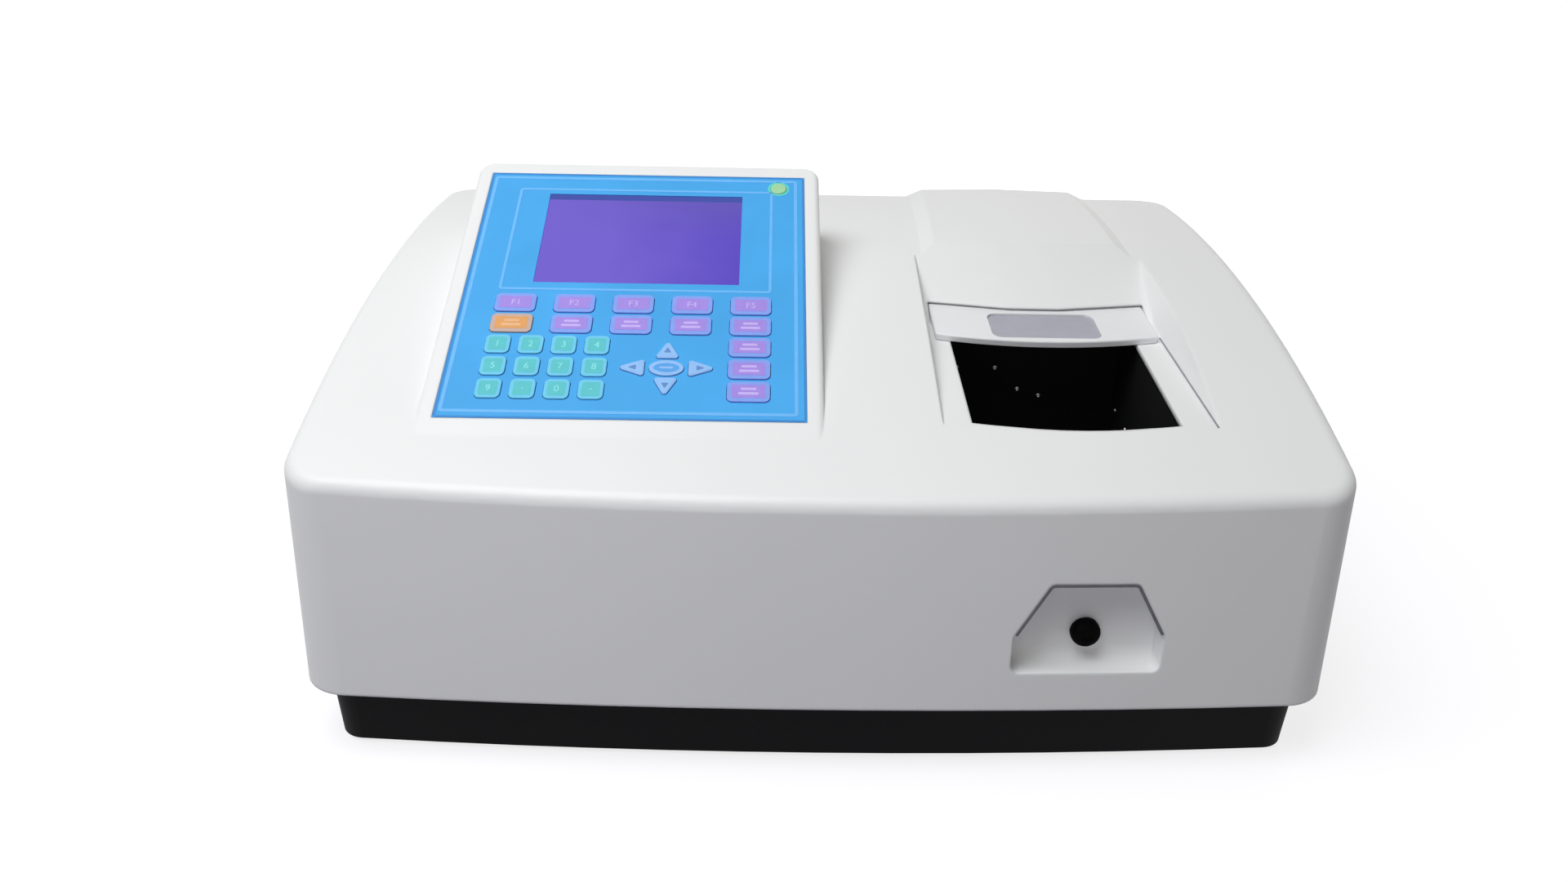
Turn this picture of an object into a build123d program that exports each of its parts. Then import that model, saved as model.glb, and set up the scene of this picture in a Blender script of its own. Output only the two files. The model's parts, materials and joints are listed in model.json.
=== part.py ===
"""Double-beam UV-visible spectrophotometer for a laboratory bench, in millimetres.

X runs to the right, Y from the front to the back and Z up. The origin is on the bench, under the
middle of the case.
"""

import os
from math import atan, cos, degrees, radians, sin, sqrt, tan

from build123d import *

os.makedirs("parts", exist_ok=True)


# Case
case_width = 565.0
case_depth = 395.0
foot_height = 3.0
cover_bottom_z = 42.0
wall = 3.0
side_draft = 2.4
front_bow = 10.0
front_corner = 29.0
rear_corner = 32.0
top_edge = 8.5
top_radius = 868.0
crown_z = 239.8
crown_inset = 31.0
crown_y = case_depth / 2 - crown_inset
front_y = -case_depth / 2
back_y = case_depth / 2

# Display housing, a wedge that leans back on the left of the cover
panel_width = 198.0
panel_length = 202.5
panel_x = -107.3
panel_foot_inset = 56.2
panel_lift = 1.5
panel_tilt = 27.8
housing_rim = 9.3
housing_top_rim = 11.5
housing_run_out = 30.0
housing_drop = 75.0
housing_flare = 3.0
housing_corner = 10.0
housing_edge = 3.5

# Keypad film, keys, display module and lamp
film_thickness = 1.0
film_gap = 0.2
window_width = 120.2
window_height = 79.5
window_centre_v = 143.2
window_relief = 2.0
key_gap = 0.3
key_height = 0.9
key_sink = 1.0
key_travel = 0.5
dome_gap = 0.2
key_edge = 0.35
wide_key = (23.4, 14.4)
square_key = 13.8
upright_arrow = (13.4, 14.2)
side_arrow = (15.8, 12.8)
oval_key = (19.2, 11.4)
key_corner = 3.2
arrow_corner = 1.6
key_row_start = 20.5
key_row_pitch = 16.35
key_rows = 5
wide_column_start = -67.5
wide_column_pitch = 33.75
wide_columns = 5
square_column_start = -72.7
square_column_pitch = 18.4
square_columns = 4
square_rows = 3
pad_x = 22.1
pad_reach_x = 20.0
pad_reach_v = 13.9
keypad_cut_width = 163.0
keypad_cut_low = 12.0
keypad_cut_high = 95.5
board_lap = 2.5
board_thickness = 1.6
dome_diameter = 8.0
lcd_lap_side = 8.0
lcd_lap_end = 1.2
lcd_thickness = 10.0
lcd_glass_depth = 0.8
led_side_inset = 16.2
led_top_inset = 11.3
led_diameter = 10.0
led_gap = 0.2
led_collar = 1.5
led_crown = 0.8

# Sunken bay of the sample lid, with the raised hood behind it
bay_x = 138.5
bay_front_inset = 57.0
bay_half_front = 74.0
bay_half_rear = 69.0
bay_lean_left = 11.0
bay_lean_right = 22.0
bay_height = 60.0
bay_sill = 12.0
bay_run_out = 20.0
hood_lip_inset = 184.0
hood_crest_inset = 247.0
hood_rise = 5.5
hood_ridge = 1.4
hood_half_top = 62.0
hood_half_foot = 71.0
hood_taper = 10.0
hood_sections = 5
hood_back_inset = 9.0
hood_bow = 6.0
hood_folds = (-18.0, 14.0)
lip_gap = 0.9

# Sample opening and lid
opening_x = 136.5
opening_width = 113.0
opening_front_inset = 55.0
opening_bow = 5.5
opening_back_inset = 176.0
lid_thickness = 4.2
lid_lift = 0.4
lid_half = 67.5
lid_cover = 1.1
lid_length = 175.0
lid_bow = 8.5
lid_travel = 93.0
lid_roof_gap = 4.4
lid_edge = 1.2
lid_corner = 2.5
grip_width = 66.0
grip_length = 32.0
grip_depth = 2.2
grip_corner = 6.0
grip_margin = 4.5
runner_gap = 0.6
runner_width = 8.0
runner_stop = 6.0

# Pocket round the pull knob, in the front of the cover
pocket_x = 141.0
pocket_half_low = 40.2
pocket_half_top = 23.0
pocket_low_z = 65.0
pocket_shoulder_z = 87.0
pocket_top_z = 118.0
pocket_depth = 19.0
pocket_corner = 5.0
pocket_top_corner = 4.0
pocket_cove = 8.0

# Base tray, feet and screws
tray_inset = 11.0
tray_taper = 3.0
tray_wall = 3.0
flange_thickness = 3.0
flange_step = 1.0
flange_gap = 0.5
foot_diameter = 22.0
foot_sink = 1.5
foot_gap = 0.2
foot_edge = 1.2
foot_side_inset = 62.5
foot_end_inset = 47.5
boss_inset = 7.5
boss_radius = 5.0
boss_height = 30.0
screw_pitch = 120.0
screws_a_side = 3
screw_radius = 1.65
screw_clear = 0.1
screw_head_radius = 3.2
screw_head_height = 2.6
screw_length = 17.0
screw_hole_radius = 2.25
screw_slot = (0.9, 4.2, 1.4)

# Optical bench, sample tub and cell carriage
bench_top_z = 60.0
bench_thickness = 10.0
bench_depth = 300.0
bench_low_x = -145.5
bench_side_inset = 33.0
bench_y = 0.0
bench_leg_radius = 12.0
bench_leg_inset = 15.0
tub_half = 58.0
tub_wall = 2.5
tub_front_inset = 52.5
tub_length = 136.0
tub_floor = 3.0
beam_height = 34.0
beam_hole_radius = 5.0
rail_spacing = 20.0
rail_width = 6.0
rail_height = 4.0
slide_gap = 0.3
carriage_lift = 1.0
cell_side = 12.8
cell_pitch = 15.0
cell_count = 4
cell_depth = 36.0
carriage_half = 18.0
carriage_end = 4.0
carriage_height = 42.0
carriage_front_gap = 1.6
reference_x = 105.0
reference_half = 11.0
reference_wall = 3.0
reference_gap = 1.5
rib_end_gap = 2.0

# Pull rod and knob
rod_x = 142.0
rod_z = 83.0
rod_radius = 3.0
rod_gap = 0.1
rod_pocket_gap = 0.5
rod_socket = 3.0
knob_radius = 8.0
knob_length = 7.0
knob_gap = 1.5
knob_dish = 2.6
knob_dish_depth = 0.5
knob_socket = 4.5
knob_edge = 4.8

# Back panel and what it carries
panel_sheet = 2.0
back_panel_inset = 11.5
back_panel_left_inset = 32.5
back_panel_right_inset = 70.5
back_panel_top_z = 150.0
back_cut_margin = 12.0
back_cut_low_z = 58.0
back_cut_corner = 8.0
fan_side = 80.0
fan_depth = 25.0
fan_x = 150.0
fan_z = 100.0
fan_bore_radius = 38.0
fan_tip_gap = 1.5
fan_hub_radius = 18.0
fan_blades = 7
blade_thickness = 1.6
blade_pitch = 35.0
blade_chord = 16.0
blade_root = 1.5
fan_rotor_depth = 16.0
fan_strut = 3.0
fan_mount_depth = 4.0
fan_pitch = 71.5
fan_hole_radius = 2.2
fan_corner = 5.0
grille_slot = 4.0
grille_rows = 9
inlet_x = -60.0
inlet_z = 100.0
inlet_bezel = (62.0, 32.0)
inlet_bezel_thickness = 2.5
inlet_body = (56.0, 27.0)
inlet_body_depth = 30.0
inlet_gap = 0.3
socket_offset = -11.0
socket_width = 24.6
socket_height = 16.6
socket_depth = 17.0
socket_chamfer = 4.0
pin_size = (2.0, 4.0)
pin_length = 14.0
pin_pitch = 14.0
pin_drop = 2.0
earth_rise = 4.0
rocker_offset = 17.5
rocker_width = 13.0
rocker_half_height = 8.4
rocker_reach = 6.4
rocker_dip = 5.2
rocker_well_height = 20.4
rocker_well_depth = 14.0
rocker_gap = 0.3
rocker_angle = 9.0
rocker_pivot_depth = 3.0
rocker_pin_radius = 1.5
rocker_pin_reach = 1.0
rocker_tail = (6.0, 4.0)
rocker_waist = 1.0

# Main board and power supply
main_board_shift = -1.0
main_board_width = 98.0
main_board_length = 276.0
main_board_back_gap = 2.0
main_board_z = 76.0
standoff_radius = 4.0
standoff_inset = 8.0
serial_size = (31.0, 16.0, 12.5)
serial_shift = 6.0
usb_size = (12.0, 16.0, 11.0)
usb_shift = 38.0
socket_proud = 1.0
socket_recess = 5.0
socket_rim = 2.0
chip_size = (18.0, 18.0, 2.4)
chip_pitch = (30.0, 46.0)
chip_columns = 3
chip_rows = 5
supply_size = (78.0, 148.0, 54.0)
supply_shift = -4.0
supply_y = -4.0
vent_slot = 3.0
vent_pitch = 9.0
vent_count = 12
supply_wall = 1.5
vent_margin = 14.0

# Monochromator, lamp house and optics
mono_low_x = -140.0
mono_high_x = 45.0
mono_low_y = -2.0
mono_inlet_gap = 16.0
mono_height = 74.0
mono_wall = 5.0
mono_lid = 4.0
grating_x = -95.0
grating_shift = 1.0
turntable_radius = 22.0
turntable_height = 6.0
grating_size = (32.0, 8.0, 32.0)
spindle_radius = 4.0
spindle_gap = 0.1
table_gap = 0.4
wheel_radius = 25.0
wheel_thickness = 3.0
wheel_holes = 6
wheel_hole_radius = 5.0
wheel_circle = 18.0
lamp_beam_inset = 48.0
wheel_clearance = 7.0
wheel_bearing = 4.0
lamp_low_x = 66.0
lamp_high_x = 192.0
lamp_tub_gap = 18.5
lamp_fan_gap = 17.0
lamp_height = 78.0
lamp_wall = 2.5
lamp_vent_count = 9
lamp_vent_margin = 16.0
lamp_row_x = 152.0
deuterium_inset = 42.0
deuterium_radius = 15.0
deuterium_height = 52.0
tungsten_inset = 28.0
tungsten_radius = 6.0
tungsten_height = 30.0
lamp_base_height = 10.0
lamp_base_lip = 3.0
lamp_edge = 4.0
flip_mirror_x = 102.0
flip_post_radius = 5.0
mirror_size = (24.0, 4.0, 26.0)
mirror_foot_width = 14.0
spindle_depth = 4.0
beam_mirror_x = 20.0
fold_mirror_x = -20.0
fold_mirror_insets = (40.0, 34.0)
fold_mirror_turns = (60.0, 120.0)
detector_gap = 6.0
detector_depth = 28.0
detector_height = 42.0
detector_margin = 12.0
detector_can_radius = 6.0
detector_can_length = 5.0


def top_z(y, drop=0.0):
    """Height of the cover's arched top at y, or of the arch drop below it."""
    radius = top_radius - drop
    return crown_z - top_radius + sqrt(radius**2 - (y - crown_y) ** 2)


def case_plan(inset):
    """The case's outline seen from above, bowed at the front, drawn in by inset."""
    half = case_width / 2 - inset
    low = front_y + inset
    high = back_y - inset
    with BuildSketch() as plan:
        with BuildLine():
            ThreePointArc((-half, low + front_bow), (0, low), (half, low + front_bow))
            Polyline((half, low + front_bow), (half, high), (-half, high), (-half, low + front_bow))
        make_face()
        fillet(plan.vertices().group_by(Axis.Y)[-1], rear_corner - inset)
        fillet(plan.vertices().sort_by(Axis.Y)[:2], front_corner - inset)
    return plan.sketch


def case_form(inset):
    """The cover's solid form: drafted sides under an arched top, drawn in by inset."""
    reach = case_depth / 2 + wall
    with BuildPart() as form:
        with BuildSketch(Plane.XY.offset(cover_bottom_z)):
            add(case_plan(inset))
        extrude(amount=crown_z, taper=side_draft)
        with BuildSketch(Plane.YZ):
            with BuildLine():
                ThreePointArc(
                    (-reach, top_z(-reach, inset)), (0, top_z(0, inset)), (reach, top_z(reach, inset))
                )
                Polyline(
                    (reach, top_z(reach, inset)),
                    (reach, cover_bottom_z),
                    (-reach, cover_bottom_z),
                    (-reach, top_z(-reach, inset)),
                )
            make_face()
        extrude(amount=case_width, both=True, mode=Mode.INTERSECT)
        arched = form.faces().filter_by(GeomType.CYLINDER).sort_by(SortBy.AREA)[-1]
        fillet(arched.edges(), top_edge - inset)
    return form.part


outer_form = case_form(0)
inner_form = case_form(wall)

# Planes that several pieces share
panel_foot_y = front_y + panel_foot_inset
panel_plane = Plane(
    origin=(panel_x, panel_foot_y, top_z(panel_foot_y) + panel_lift),
    x_dir=(1, 0, 0),
    z_dir=(0, -sin(radians(panel_tilt)), cos(radians(panel_tilt))),
)
bay_front_y = front_y + bay_front_inset
lid_tail_y = front_y + opening_front_inset - lid_cover + lid_travel + lid_length + runner_stop
bay_rise = top_z(lid_tail_y, wall) - lid_roof_gap - lid_thickness - lid_lift - top_z(bay_front_y)
bay_slope = degrees(atan(bay_rise / (lid_tail_y - bay_front_y)))
bay_plane = Plane(
    origin=(bay_x, bay_front_y, top_z(bay_front_y)),
    x_dir=(1, 0, 0),
    z_dir=(0, -sin(radians(bay_slope)), cos(radians(bay_slope))),
)


def bay_floor_z(y):
    """Height of the bay's sloping floor at y."""
    return top_z(bay_front_y) + (y - bay_front_y) * tan(radians(bay_slope))


def along_bay(inset):
    """Distance up the bay's floor of a place that lies inset behind the case's front."""
    return (inset - bay_front_inset) / cos(radians(bay_slope))


# Display housing's block, before it joins the cover, and the hollow under its top
housing_half = panel_width / 2 + housing_rim
housing_high = panel_length + housing_top_rim


def housing_block(inset):
    """The leaning wedge that carries keypad and display, drawn in by inset."""
    half = housing_half - inset
    height = housing_high - inset + housing_run_out
    with BuildPart() as block:
        with BuildSketch(panel_plane.offset(-inset)) as outline:
            with Locations((0, height / 2 - housing_run_out)):
                Rectangle(2 * half, height)
            fillet(outline.vertices(), housing_corner - inset)
        extrude(amount=-housing_drop, taper=-housing_flare)
        rim = block.faces().filter_by(Plane(panel_plane.origin, z_dir=panel_plane.z_dir)).sort_by(
            Axis.Z
        )[-1]
        if inset == 0:
            fillet(rim.edges(), housing_edge)
    return block.part


housing_outer = housing_block(0)
housing_inner = housing_block(wall)

# The hood's sloping front, from the lip over the lid up to the crest
hood_lip_y = front_y + hood_lip_inset
hood_lip_z = bay_floor_z(hood_lip_y) + lid_lift + lid_thickness + lip_gap
hood_crest_y = front_y + hood_crest_inset
hood_crest_z = top_z(hood_crest_y) + hood_rise
hood_rise_way = Vector(0, hood_crest_y - hood_lip_y, hood_crest_z - hood_lip_z).normalized()

# The hood: a low roof-shaped ridge that follows the arched top behind the bay. Its left side draws in
# towards the back.
hood_back_y = back_y - hood_back_inset
hood_shoulder = hood_rise - hood_ridge
hood_root = (hood_half_foot - hood_half_top) * (1 + wall / hood_shoulder)
with BuildPart() as hood:
    for section in range(hood_sections):
        share = section / (hood_sections - 1)
        section_y = hood_lip_y + (hood_back_y - hood_lip_y) * share
        left = bay_x - hood_half_top + hood_taper * share
        right = bay_x + hood_half_top
        with BuildSketch(Plane((0, section_y, top_z(section_y)), x_dir=(1, 0, 0), z_dir=(0, -1, 0))):
            with BuildLine():
                Polyline(
                    (left - hood_root, -wall),
                    (left, hood_shoulder),
                    ((left + right) / 2, hood_rise),
                    (right, hood_shoulder),
                    (right + hood_root, -wall),
                    close=True,
                )
            make_face()
    loft()


def bay_block(grow):
    """The space of the sunken bay, or the same space grown outwards to its walls' far side."""
    spread_left = bay_height * tan(radians(bay_lean_left))
    spread_right = bay_height * tan(radians(bay_lean_right))
    flare = (bay_half_front - bay_half_rear) / along_bay(hood_crest_inset)
    with BuildPart() as block:
        for place in (-bay_run_out, along_bay(hood_crest_inset) + bay_height):
            half = bay_half_front - flare * place + grow
            with BuildSketch(
                Plane(
                    origin=bay_plane.from_local_coords(Vector(0, place, -grow)),
                    x_dir=(1, 0, 0),
                    z_dir=bay_plane.y_dir * -1,
                )
            ):
                with BuildLine():
                    Polyline(
                        (-half, 0),
                        (half, 0),
                        (half + spread_right, bay_height),
                        (-half - spread_left, bay_height),
                        close=True,
                    )
                make_face()
        loft(ruled=True)
        low_y = hood_lip_y - bay_sill * hood_rise_way.Y / hood_rise_way.Z + grow / hood_rise_way.Z
        with BuildSketch(Plane.XY.offset(hood_lip_z - bay_sill)):
            with BuildLine():
                Polyline(
                    (bay_x - bay_half_front, low_y + hood_bow),
                    *[
                        (bay_x + fold, low_y + hood_bow * (fold / bay_half_front) ** 2)
                        for fold in hood_folds
                    ],
                    (bay_x + bay_half_front, low_y + hood_bow),
                    (bay_x + 2 * bay_half_front, low_y + 2 * hood_bow),
                    (bay_x + 2 * bay_half_front, back_y),
                    (bay_x - 2 * bay_half_front, back_y),
                    (bay_x - 2 * bay_half_front, low_y + 2 * hood_bow),
                    close=True,
                )
            make_face()
        extrude(amount=2 * bay_height, dir=hood_rise_way, mode=Mode.SUBTRACT)
    return block.part


bay_void = bay_block(0)
bay_envelope = bay_block(wall)

with BuildPart() as bay_tray:
    add(outer_form)
    add(bay_envelope, mode=Mode.INTERSECT)

# Two ledges behind the bay on which the lid's tail runs, each under a web from the cover's roof
runner_start = along_bay(hood_lip_inset) - bay_sill
lid_front = along_bay(opening_front_inset - lid_cover) + lid_travel
runner_end = lid_front + lid_length + runner_stop
runner_outer = lid_half + runner_gap + wall
with BuildPart() as lid_runners:
    with BuildSketch(
        Plane(
            origin=bay_plane.from_local_coords(Vector(0, runner_start, 0)),
            x_dir=(1, 0, 0),
            z_dir=bay_plane.y_dir * -1,
        )
    ):
        for side in (-1, 1):
            with Locations((side * (runner_outer - (runner_width + wall) / 2), -wall / 2)):
                Rectangle(runner_width + wall, wall)
            with Locations((side * (runner_outer - wall / 2), bay_height / 2 - wall)):
                Rectangle(wall, bay_height)
    extrude(amount=runner_start - runner_end)
    add(outer_form, mode=Mode.INTERSECT)


def opening_shape(grow, back_inset):
    """The sample opening seen from above, with the bowed front edge of the lid."""
    half = opening_width / 2 + grow
    low = front_y + opening_front_inset - grow
    high = front_y + back_inset + grow
    with BuildSketch() as shape:
        with BuildLine():
            ThreePointArc(
                (opening_x - half, low + opening_bow),
                (opening_x, low),
                (opening_x + half, low + opening_bow),
            )
            Polyline(
                (opening_x + half, low + opening_bow),
                (opening_x + half, high),
                (opening_x - half, high),
                (opening_x - half, low + opening_bow),
            )
        make_face()
    return shape.sketch


def pocket_block(grow, depth):
    """The pocket round the pull knob, or the block that its walls are cut from."""
    low = pocket_half_low + grow
    top = pocket_half_top + grow
    height = pocket_top_z - pocket_low_z + 2 * grow
    with BuildPart() as block:
        with BuildSketch(Plane.XZ.offset(-front_y - depth)) as outline:
            with BuildLine():
                Polyline(
                    (pocket_x - low, pocket_low_z - grow),
                    (pocket_x + low, pocket_low_z - grow),
                    (pocket_x + low, pocket_shoulder_z),
                    (pocket_x + top, pocket_top_z + grow),
                    (pocket_x - top, pocket_top_z + grow),
                    (pocket_x - low, pocket_shoulder_z),
                    close=True,
                )
            make_face()
            fillet(outline.vertices().group_by(Axis.Y)[0], pocket_corner + grow)
            fillet(outline.vertices().group_by(Axis.Y)[-1], pocket_top_corner + grow)
        extrude(amount=depth)
        with BuildSketch(Plane.YZ.offset(pocket_x)) as side_view:
            with Locations((front_y + depth / 2, (pocket_low_z + pocket_top_z) / 2)):
                Rectangle(depth, height)
            sill_end = side_view.vertices().group_by(Axis.Y)[0].sort_by(Axis.X)[-1]
            fillet(sill_end, pocket_cove + grow)
        extrude(amount=low, both=True, mode=Mode.INTERSECT)
    return block.part


# Heights and places that the case's pieces share
flange_low_z = cover_bottom_z + flange_step
flange_top_z = flange_low_z + flange_thickness
screw_x = case_width / 2 - boss_inset
tray_floor_z = foot_height + tray_wall
tray_floor_inset = tray_inset + tray_wall
back_panel_y = back_y - back_panel_inset
back_panel_low_x = back_panel_left_inset - case_width / 2
back_panel_high_x = case_width / 2 - back_panel_right_inset
foot_x = case_width / 2 - foot_side_inset
foot_y = case_depth / 2 - foot_end_inset
board_bay_x = (bench_low_x + tray_floor_inset - case_width / 2) / 2
main_board_x = board_bay_x + main_board_shift
supply_x = board_bay_x + supply_shift
back_cut_width = back_panel_high_x - back_panel_low_x - 2 * back_cut_margin
back_cut_height = back_panel_top_z - back_cut_margin - back_cut_low_z
back_cut_x = (back_panel_high_x + back_panel_low_x) / 2
keypad_cut_height = keypad_cut_high - keypad_cut_low
keypad_cut_v = (keypad_cut_high + keypad_cut_low) / 2
film_centre_v = panel_length / 2
led_x = panel_width / 2 - led_side_inset
led_v = panel_length - led_top_inset

# White top cover, one moulding with the display housing, the hood, the lid's bay and the pocket
with BuildPart() as top_cover:
    add(outer_form)
    add(housing_outer)
    add(hood.part)
    add(inner_form, mode=Mode.SUBTRACT)
    add(housing_inner, mode=Mode.SUBTRACT)
    add(lid_runners.part)
    add(bay_tray.part)
    add(bay_void, mode=Mode.SUBTRACT)
    with BuildSketch(
        Plane(
            origin=bay_plane.from_local_coords(Vector(0, runner_start - bay_sill, 0)),
            x_dir=(1, 0, 0),
            z_dir=bay_plane.y_dir * -1,
        )
    ):
        with Locations((0, (lid_lift + lid_thickness + lip_gap) / 2)):
            Rectangle(2 * (lid_half + runner_gap), lid_lift + lid_thickness + lip_gap)
    extrude(amount=runner_start - runner_end, mode=Mode.SUBTRACT)
    with BuildSketch(Plane.XY.offset(bay_floor_z(bay_front_y) - bay_sill)):
        add(opening_shape(0, opening_back_inset))
    extrude(amount=bay_height, mode=Mode.SUBTRACT)
    pocket_walls = pocket_block(wall, pocket_depth + wall)
    add(pocket_walls & outer_form)
    add(pocket_block(0, pocket_depth), mode=Mode.SUBTRACT)
    with BuildSketch(Plane.XZ.offset(-front_y)):
        with Locations((rod_x, rod_z)):
            Circle(rod_radius + rod_pocket_gap)
    extrude(amount=-pocket_depth - 2 * wall, mode=Mode.SUBTRACT)
    with BuildSketch(panel_plane):
        with Locations((0, film_centre_v)):
            Rectangle(panel_width + 2 * film_gap, panel_length + 2 * film_gap)
    extrude(amount=-film_thickness, mode=Mode.SUBTRACT)
    with BuildSketch(panel_plane):
        with Locations((0, window_centre_v)):
            Rectangle(window_width + 2 * window_relief, window_height + 2 * window_relief)
        with Locations((0, keypad_cut_v)):
            Rectangle(keypad_cut_width, keypad_cut_height)
        with Locations((led_x, led_v)):
            Circle(led_diameter / 2 + led_gap)
    extrude(amount=-2 * wall, mode=Mode.SUBTRACT)
    with BuildSketch(Plane.XY.offset(flange_top_z)):
        with GridLocations(2 * screw_x, screw_pitch, 2, screws_a_side):
            Circle(boss_radius)
    extrude(amount=boss_height)
    with BuildSketch(Plane.XY.offset(flange_top_z)):
        with GridLocations(2 * screw_x, screw_pitch, 2, screws_a_side):
            Circle(screw_radius + screw_clear)
    extrude(amount=boss_height - wall, mode=Mode.SUBTRACT)
    with BuildSketch(Plane.XZ.offset(-back_y)):
        with Locations((back_cut_x, back_cut_low_z + back_cut_height / 2)):
            RectangleRounded(back_cut_width, back_cut_height, back_cut_corner)
    extrude(amount=back_panel_inset - panel_sheet, both=True, mode=Mode.SUBTRACT)
top_cover.part.label = "top_cover"
export_step(top_cover.part, "parts/top_cover.step")

# Black base tray, a shallow pan with a flange that closes the cover from below
with BuildPart() as base_tray:
    with BuildSketch(Plane.XY.offset(flange_top_z)):
        add(case_plan(tray_inset))
    extrude(amount=foot_height - flange_top_z, taper=tray_taper)
    with BuildSketch(Plane.XY.offset(flange_low_z)):
        add(case_plan(wall + flange_gap))
    extrude(amount=flange_thickness)
    with BuildSketch(Plane.XY.offset(flange_top_z)):
        add(case_plan(tray_floor_inset))
    extrude(amount=tray_floor_z - flange_top_z, taper=tray_taper, mode=Mode.SUBTRACT)
    with BuildSketch(Plane.XY.offset(foot_height)):
        with GridLocations(2 * foot_x, 2 * foot_y, 2, 2):
            Circle(foot_diameter / 2 + foot_gap)
    extrude(amount=foot_sink, mode=Mode.SUBTRACT)
    with BuildSketch(Plane.XY.offset(flange_low_z)):
        with GridLocations(2 * screw_x, screw_pitch, 2, screws_a_side):
            Circle(screw_hole_radius)
    extrude(amount=flange_thickness, mode=Mode.SUBTRACT)
base_tray.part.label = "base_tray"
export_step(base_tray.part, "parts/base_tray.step")

# Four rubber feet pressed into pockets under the tray
with BuildPart() as rubber_feet:
    with BuildSketch():
        with GridLocations(2 * foot_x, 2 * foot_y, 2, 2):
            Circle(foot_diameter / 2)
    extrude(amount=foot_height + foot_sink)
    fillet(rubber_feet.edges().group_by(Axis.Z)[0], foot_edge)
rubber_feet.part.label = "rubber_feet"
export_step(rubber_feet.part, "parts/rubber_feet.step")

# Six screws that hold the tray's flange to the cover's bosses from below
slot_width, slot_length, slot_depth = screw_slot
with BuildPart() as case_screws:
    with BuildSketch(Plane.XY.offset(flange_low_z - screw_head_height)):
        with GridLocations(2 * screw_x, screw_pitch, 2, screws_a_side):
            Circle(screw_head_radius)
    extrude(amount=screw_head_height)
    with BuildSketch(Plane.XY.offset(flange_low_z)):
        with GridLocations(2 * screw_x, screw_pitch, 2, screws_a_side):
            Circle(screw_radius)
    extrude(amount=screw_length)
    with BuildSketch(Plane.XY.offset(flange_low_z - screw_head_height)):
        with GridLocations(2 * screw_x, screw_pitch, 2, screws_a_side):
            Rectangle(slot_width, slot_length)
            Rectangle(slot_length, slot_width)
    extrude(amount=slot_depth, mode=Mode.SUBTRACT)
case_screws.part.label = "case_screws"
export_step(case_screws.part, "parts/case_screws.step")

# Places of what the back panel carries
panel_inner_y = back_panel_y - panel_sheet
board_top_z = main_board_z + board_thickness
sockets = ((main_board_x + serial_shift, serial_size), (main_board_x + usb_shift, usb_size))
bezel_face_y = back_panel_y + inlet_bezel_thickness
rocker_x = inlet_x + rocker_offset
rocker_pivot_y = bezel_face_y - rocker_pivot_depth

# Back panel, a steel sheet that stands on the tray's flange inside the cover's rear cut-out
with BuildPart() as rear_panel:
    with BuildSketch(Plane.XZ.offset(-back_panel_y)):
        with Locations((back_cut_x, (flange_top_z + back_panel_top_z) / 2)):
            Rectangle(back_panel_high_x - back_panel_low_x, back_panel_top_z - flange_top_z)
        with Locations((inlet_x, inlet_z)):
            Rectangle(
                inlet_body[0] + 2 * inlet_gap, inlet_body[1] + 2 * inlet_gap, mode=Mode.SUBTRACT
            )
        for socket_x, (width, depth, height) in sockets:
            with Locations((socket_x, board_top_z + height / 2)):
                Rectangle(width + 2 * inlet_gap, height + 2 * inlet_gap, mode=Mode.SUBTRACT)
        with Locations((fan_x, fan_z)):
            with GridLocations(fan_pitch, fan_pitch, 2, 2):
                Circle(fan_hole_radius, mode=Mode.SUBTRACT)
        for row in range(grille_rows):
            rise = (row - (grille_rows - 1) / 2) * 2 * grille_slot
            reach = sqrt(fan_bore_radius**2 - rise**2)
            with Locations((fan_x, fan_z + rise)):
                SlotOverall(2 * reach, grille_slot, mode=Mode.SUBTRACT)
    extrude(amount=panel_sheet)
rear_panel.part.label = "rear_panel"
export_step(rear_panel.part, "parts/rear_panel.step")

# Fan frame against the panel's inner face, with the motor's mount on four struts
with BuildPart() as fan_frame:
    with BuildSketch(Plane.XZ.offset(-panel_inner_y)):
        with Locations((fan_x, fan_z)):
            RectangleRounded(fan_side, fan_side, fan_corner)
            Circle(fan_bore_radius, mode=Mode.SUBTRACT)
            with GridLocations(fan_pitch, fan_pitch, 2, 2):
                Circle(fan_hole_radius, mode=Mode.SUBTRACT)
    extrude(amount=fan_depth)
    with BuildSketch(Plane.XZ.offset(fan_depth - panel_inner_y)):
        with Locations((fan_x, fan_z)):
            Circle(fan_hub_radius)
            Rectangle(2 * fan_bore_radius + fan_strut, fan_strut)
            Rectangle(fan_strut, 2 * fan_bore_radius + fan_strut)
    extrude(amount=-fan_mount_depth)
fan_frame.part.label = "fan_frame"
export_step(fan_frame.part, "parts/fan_frame.step")

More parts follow.
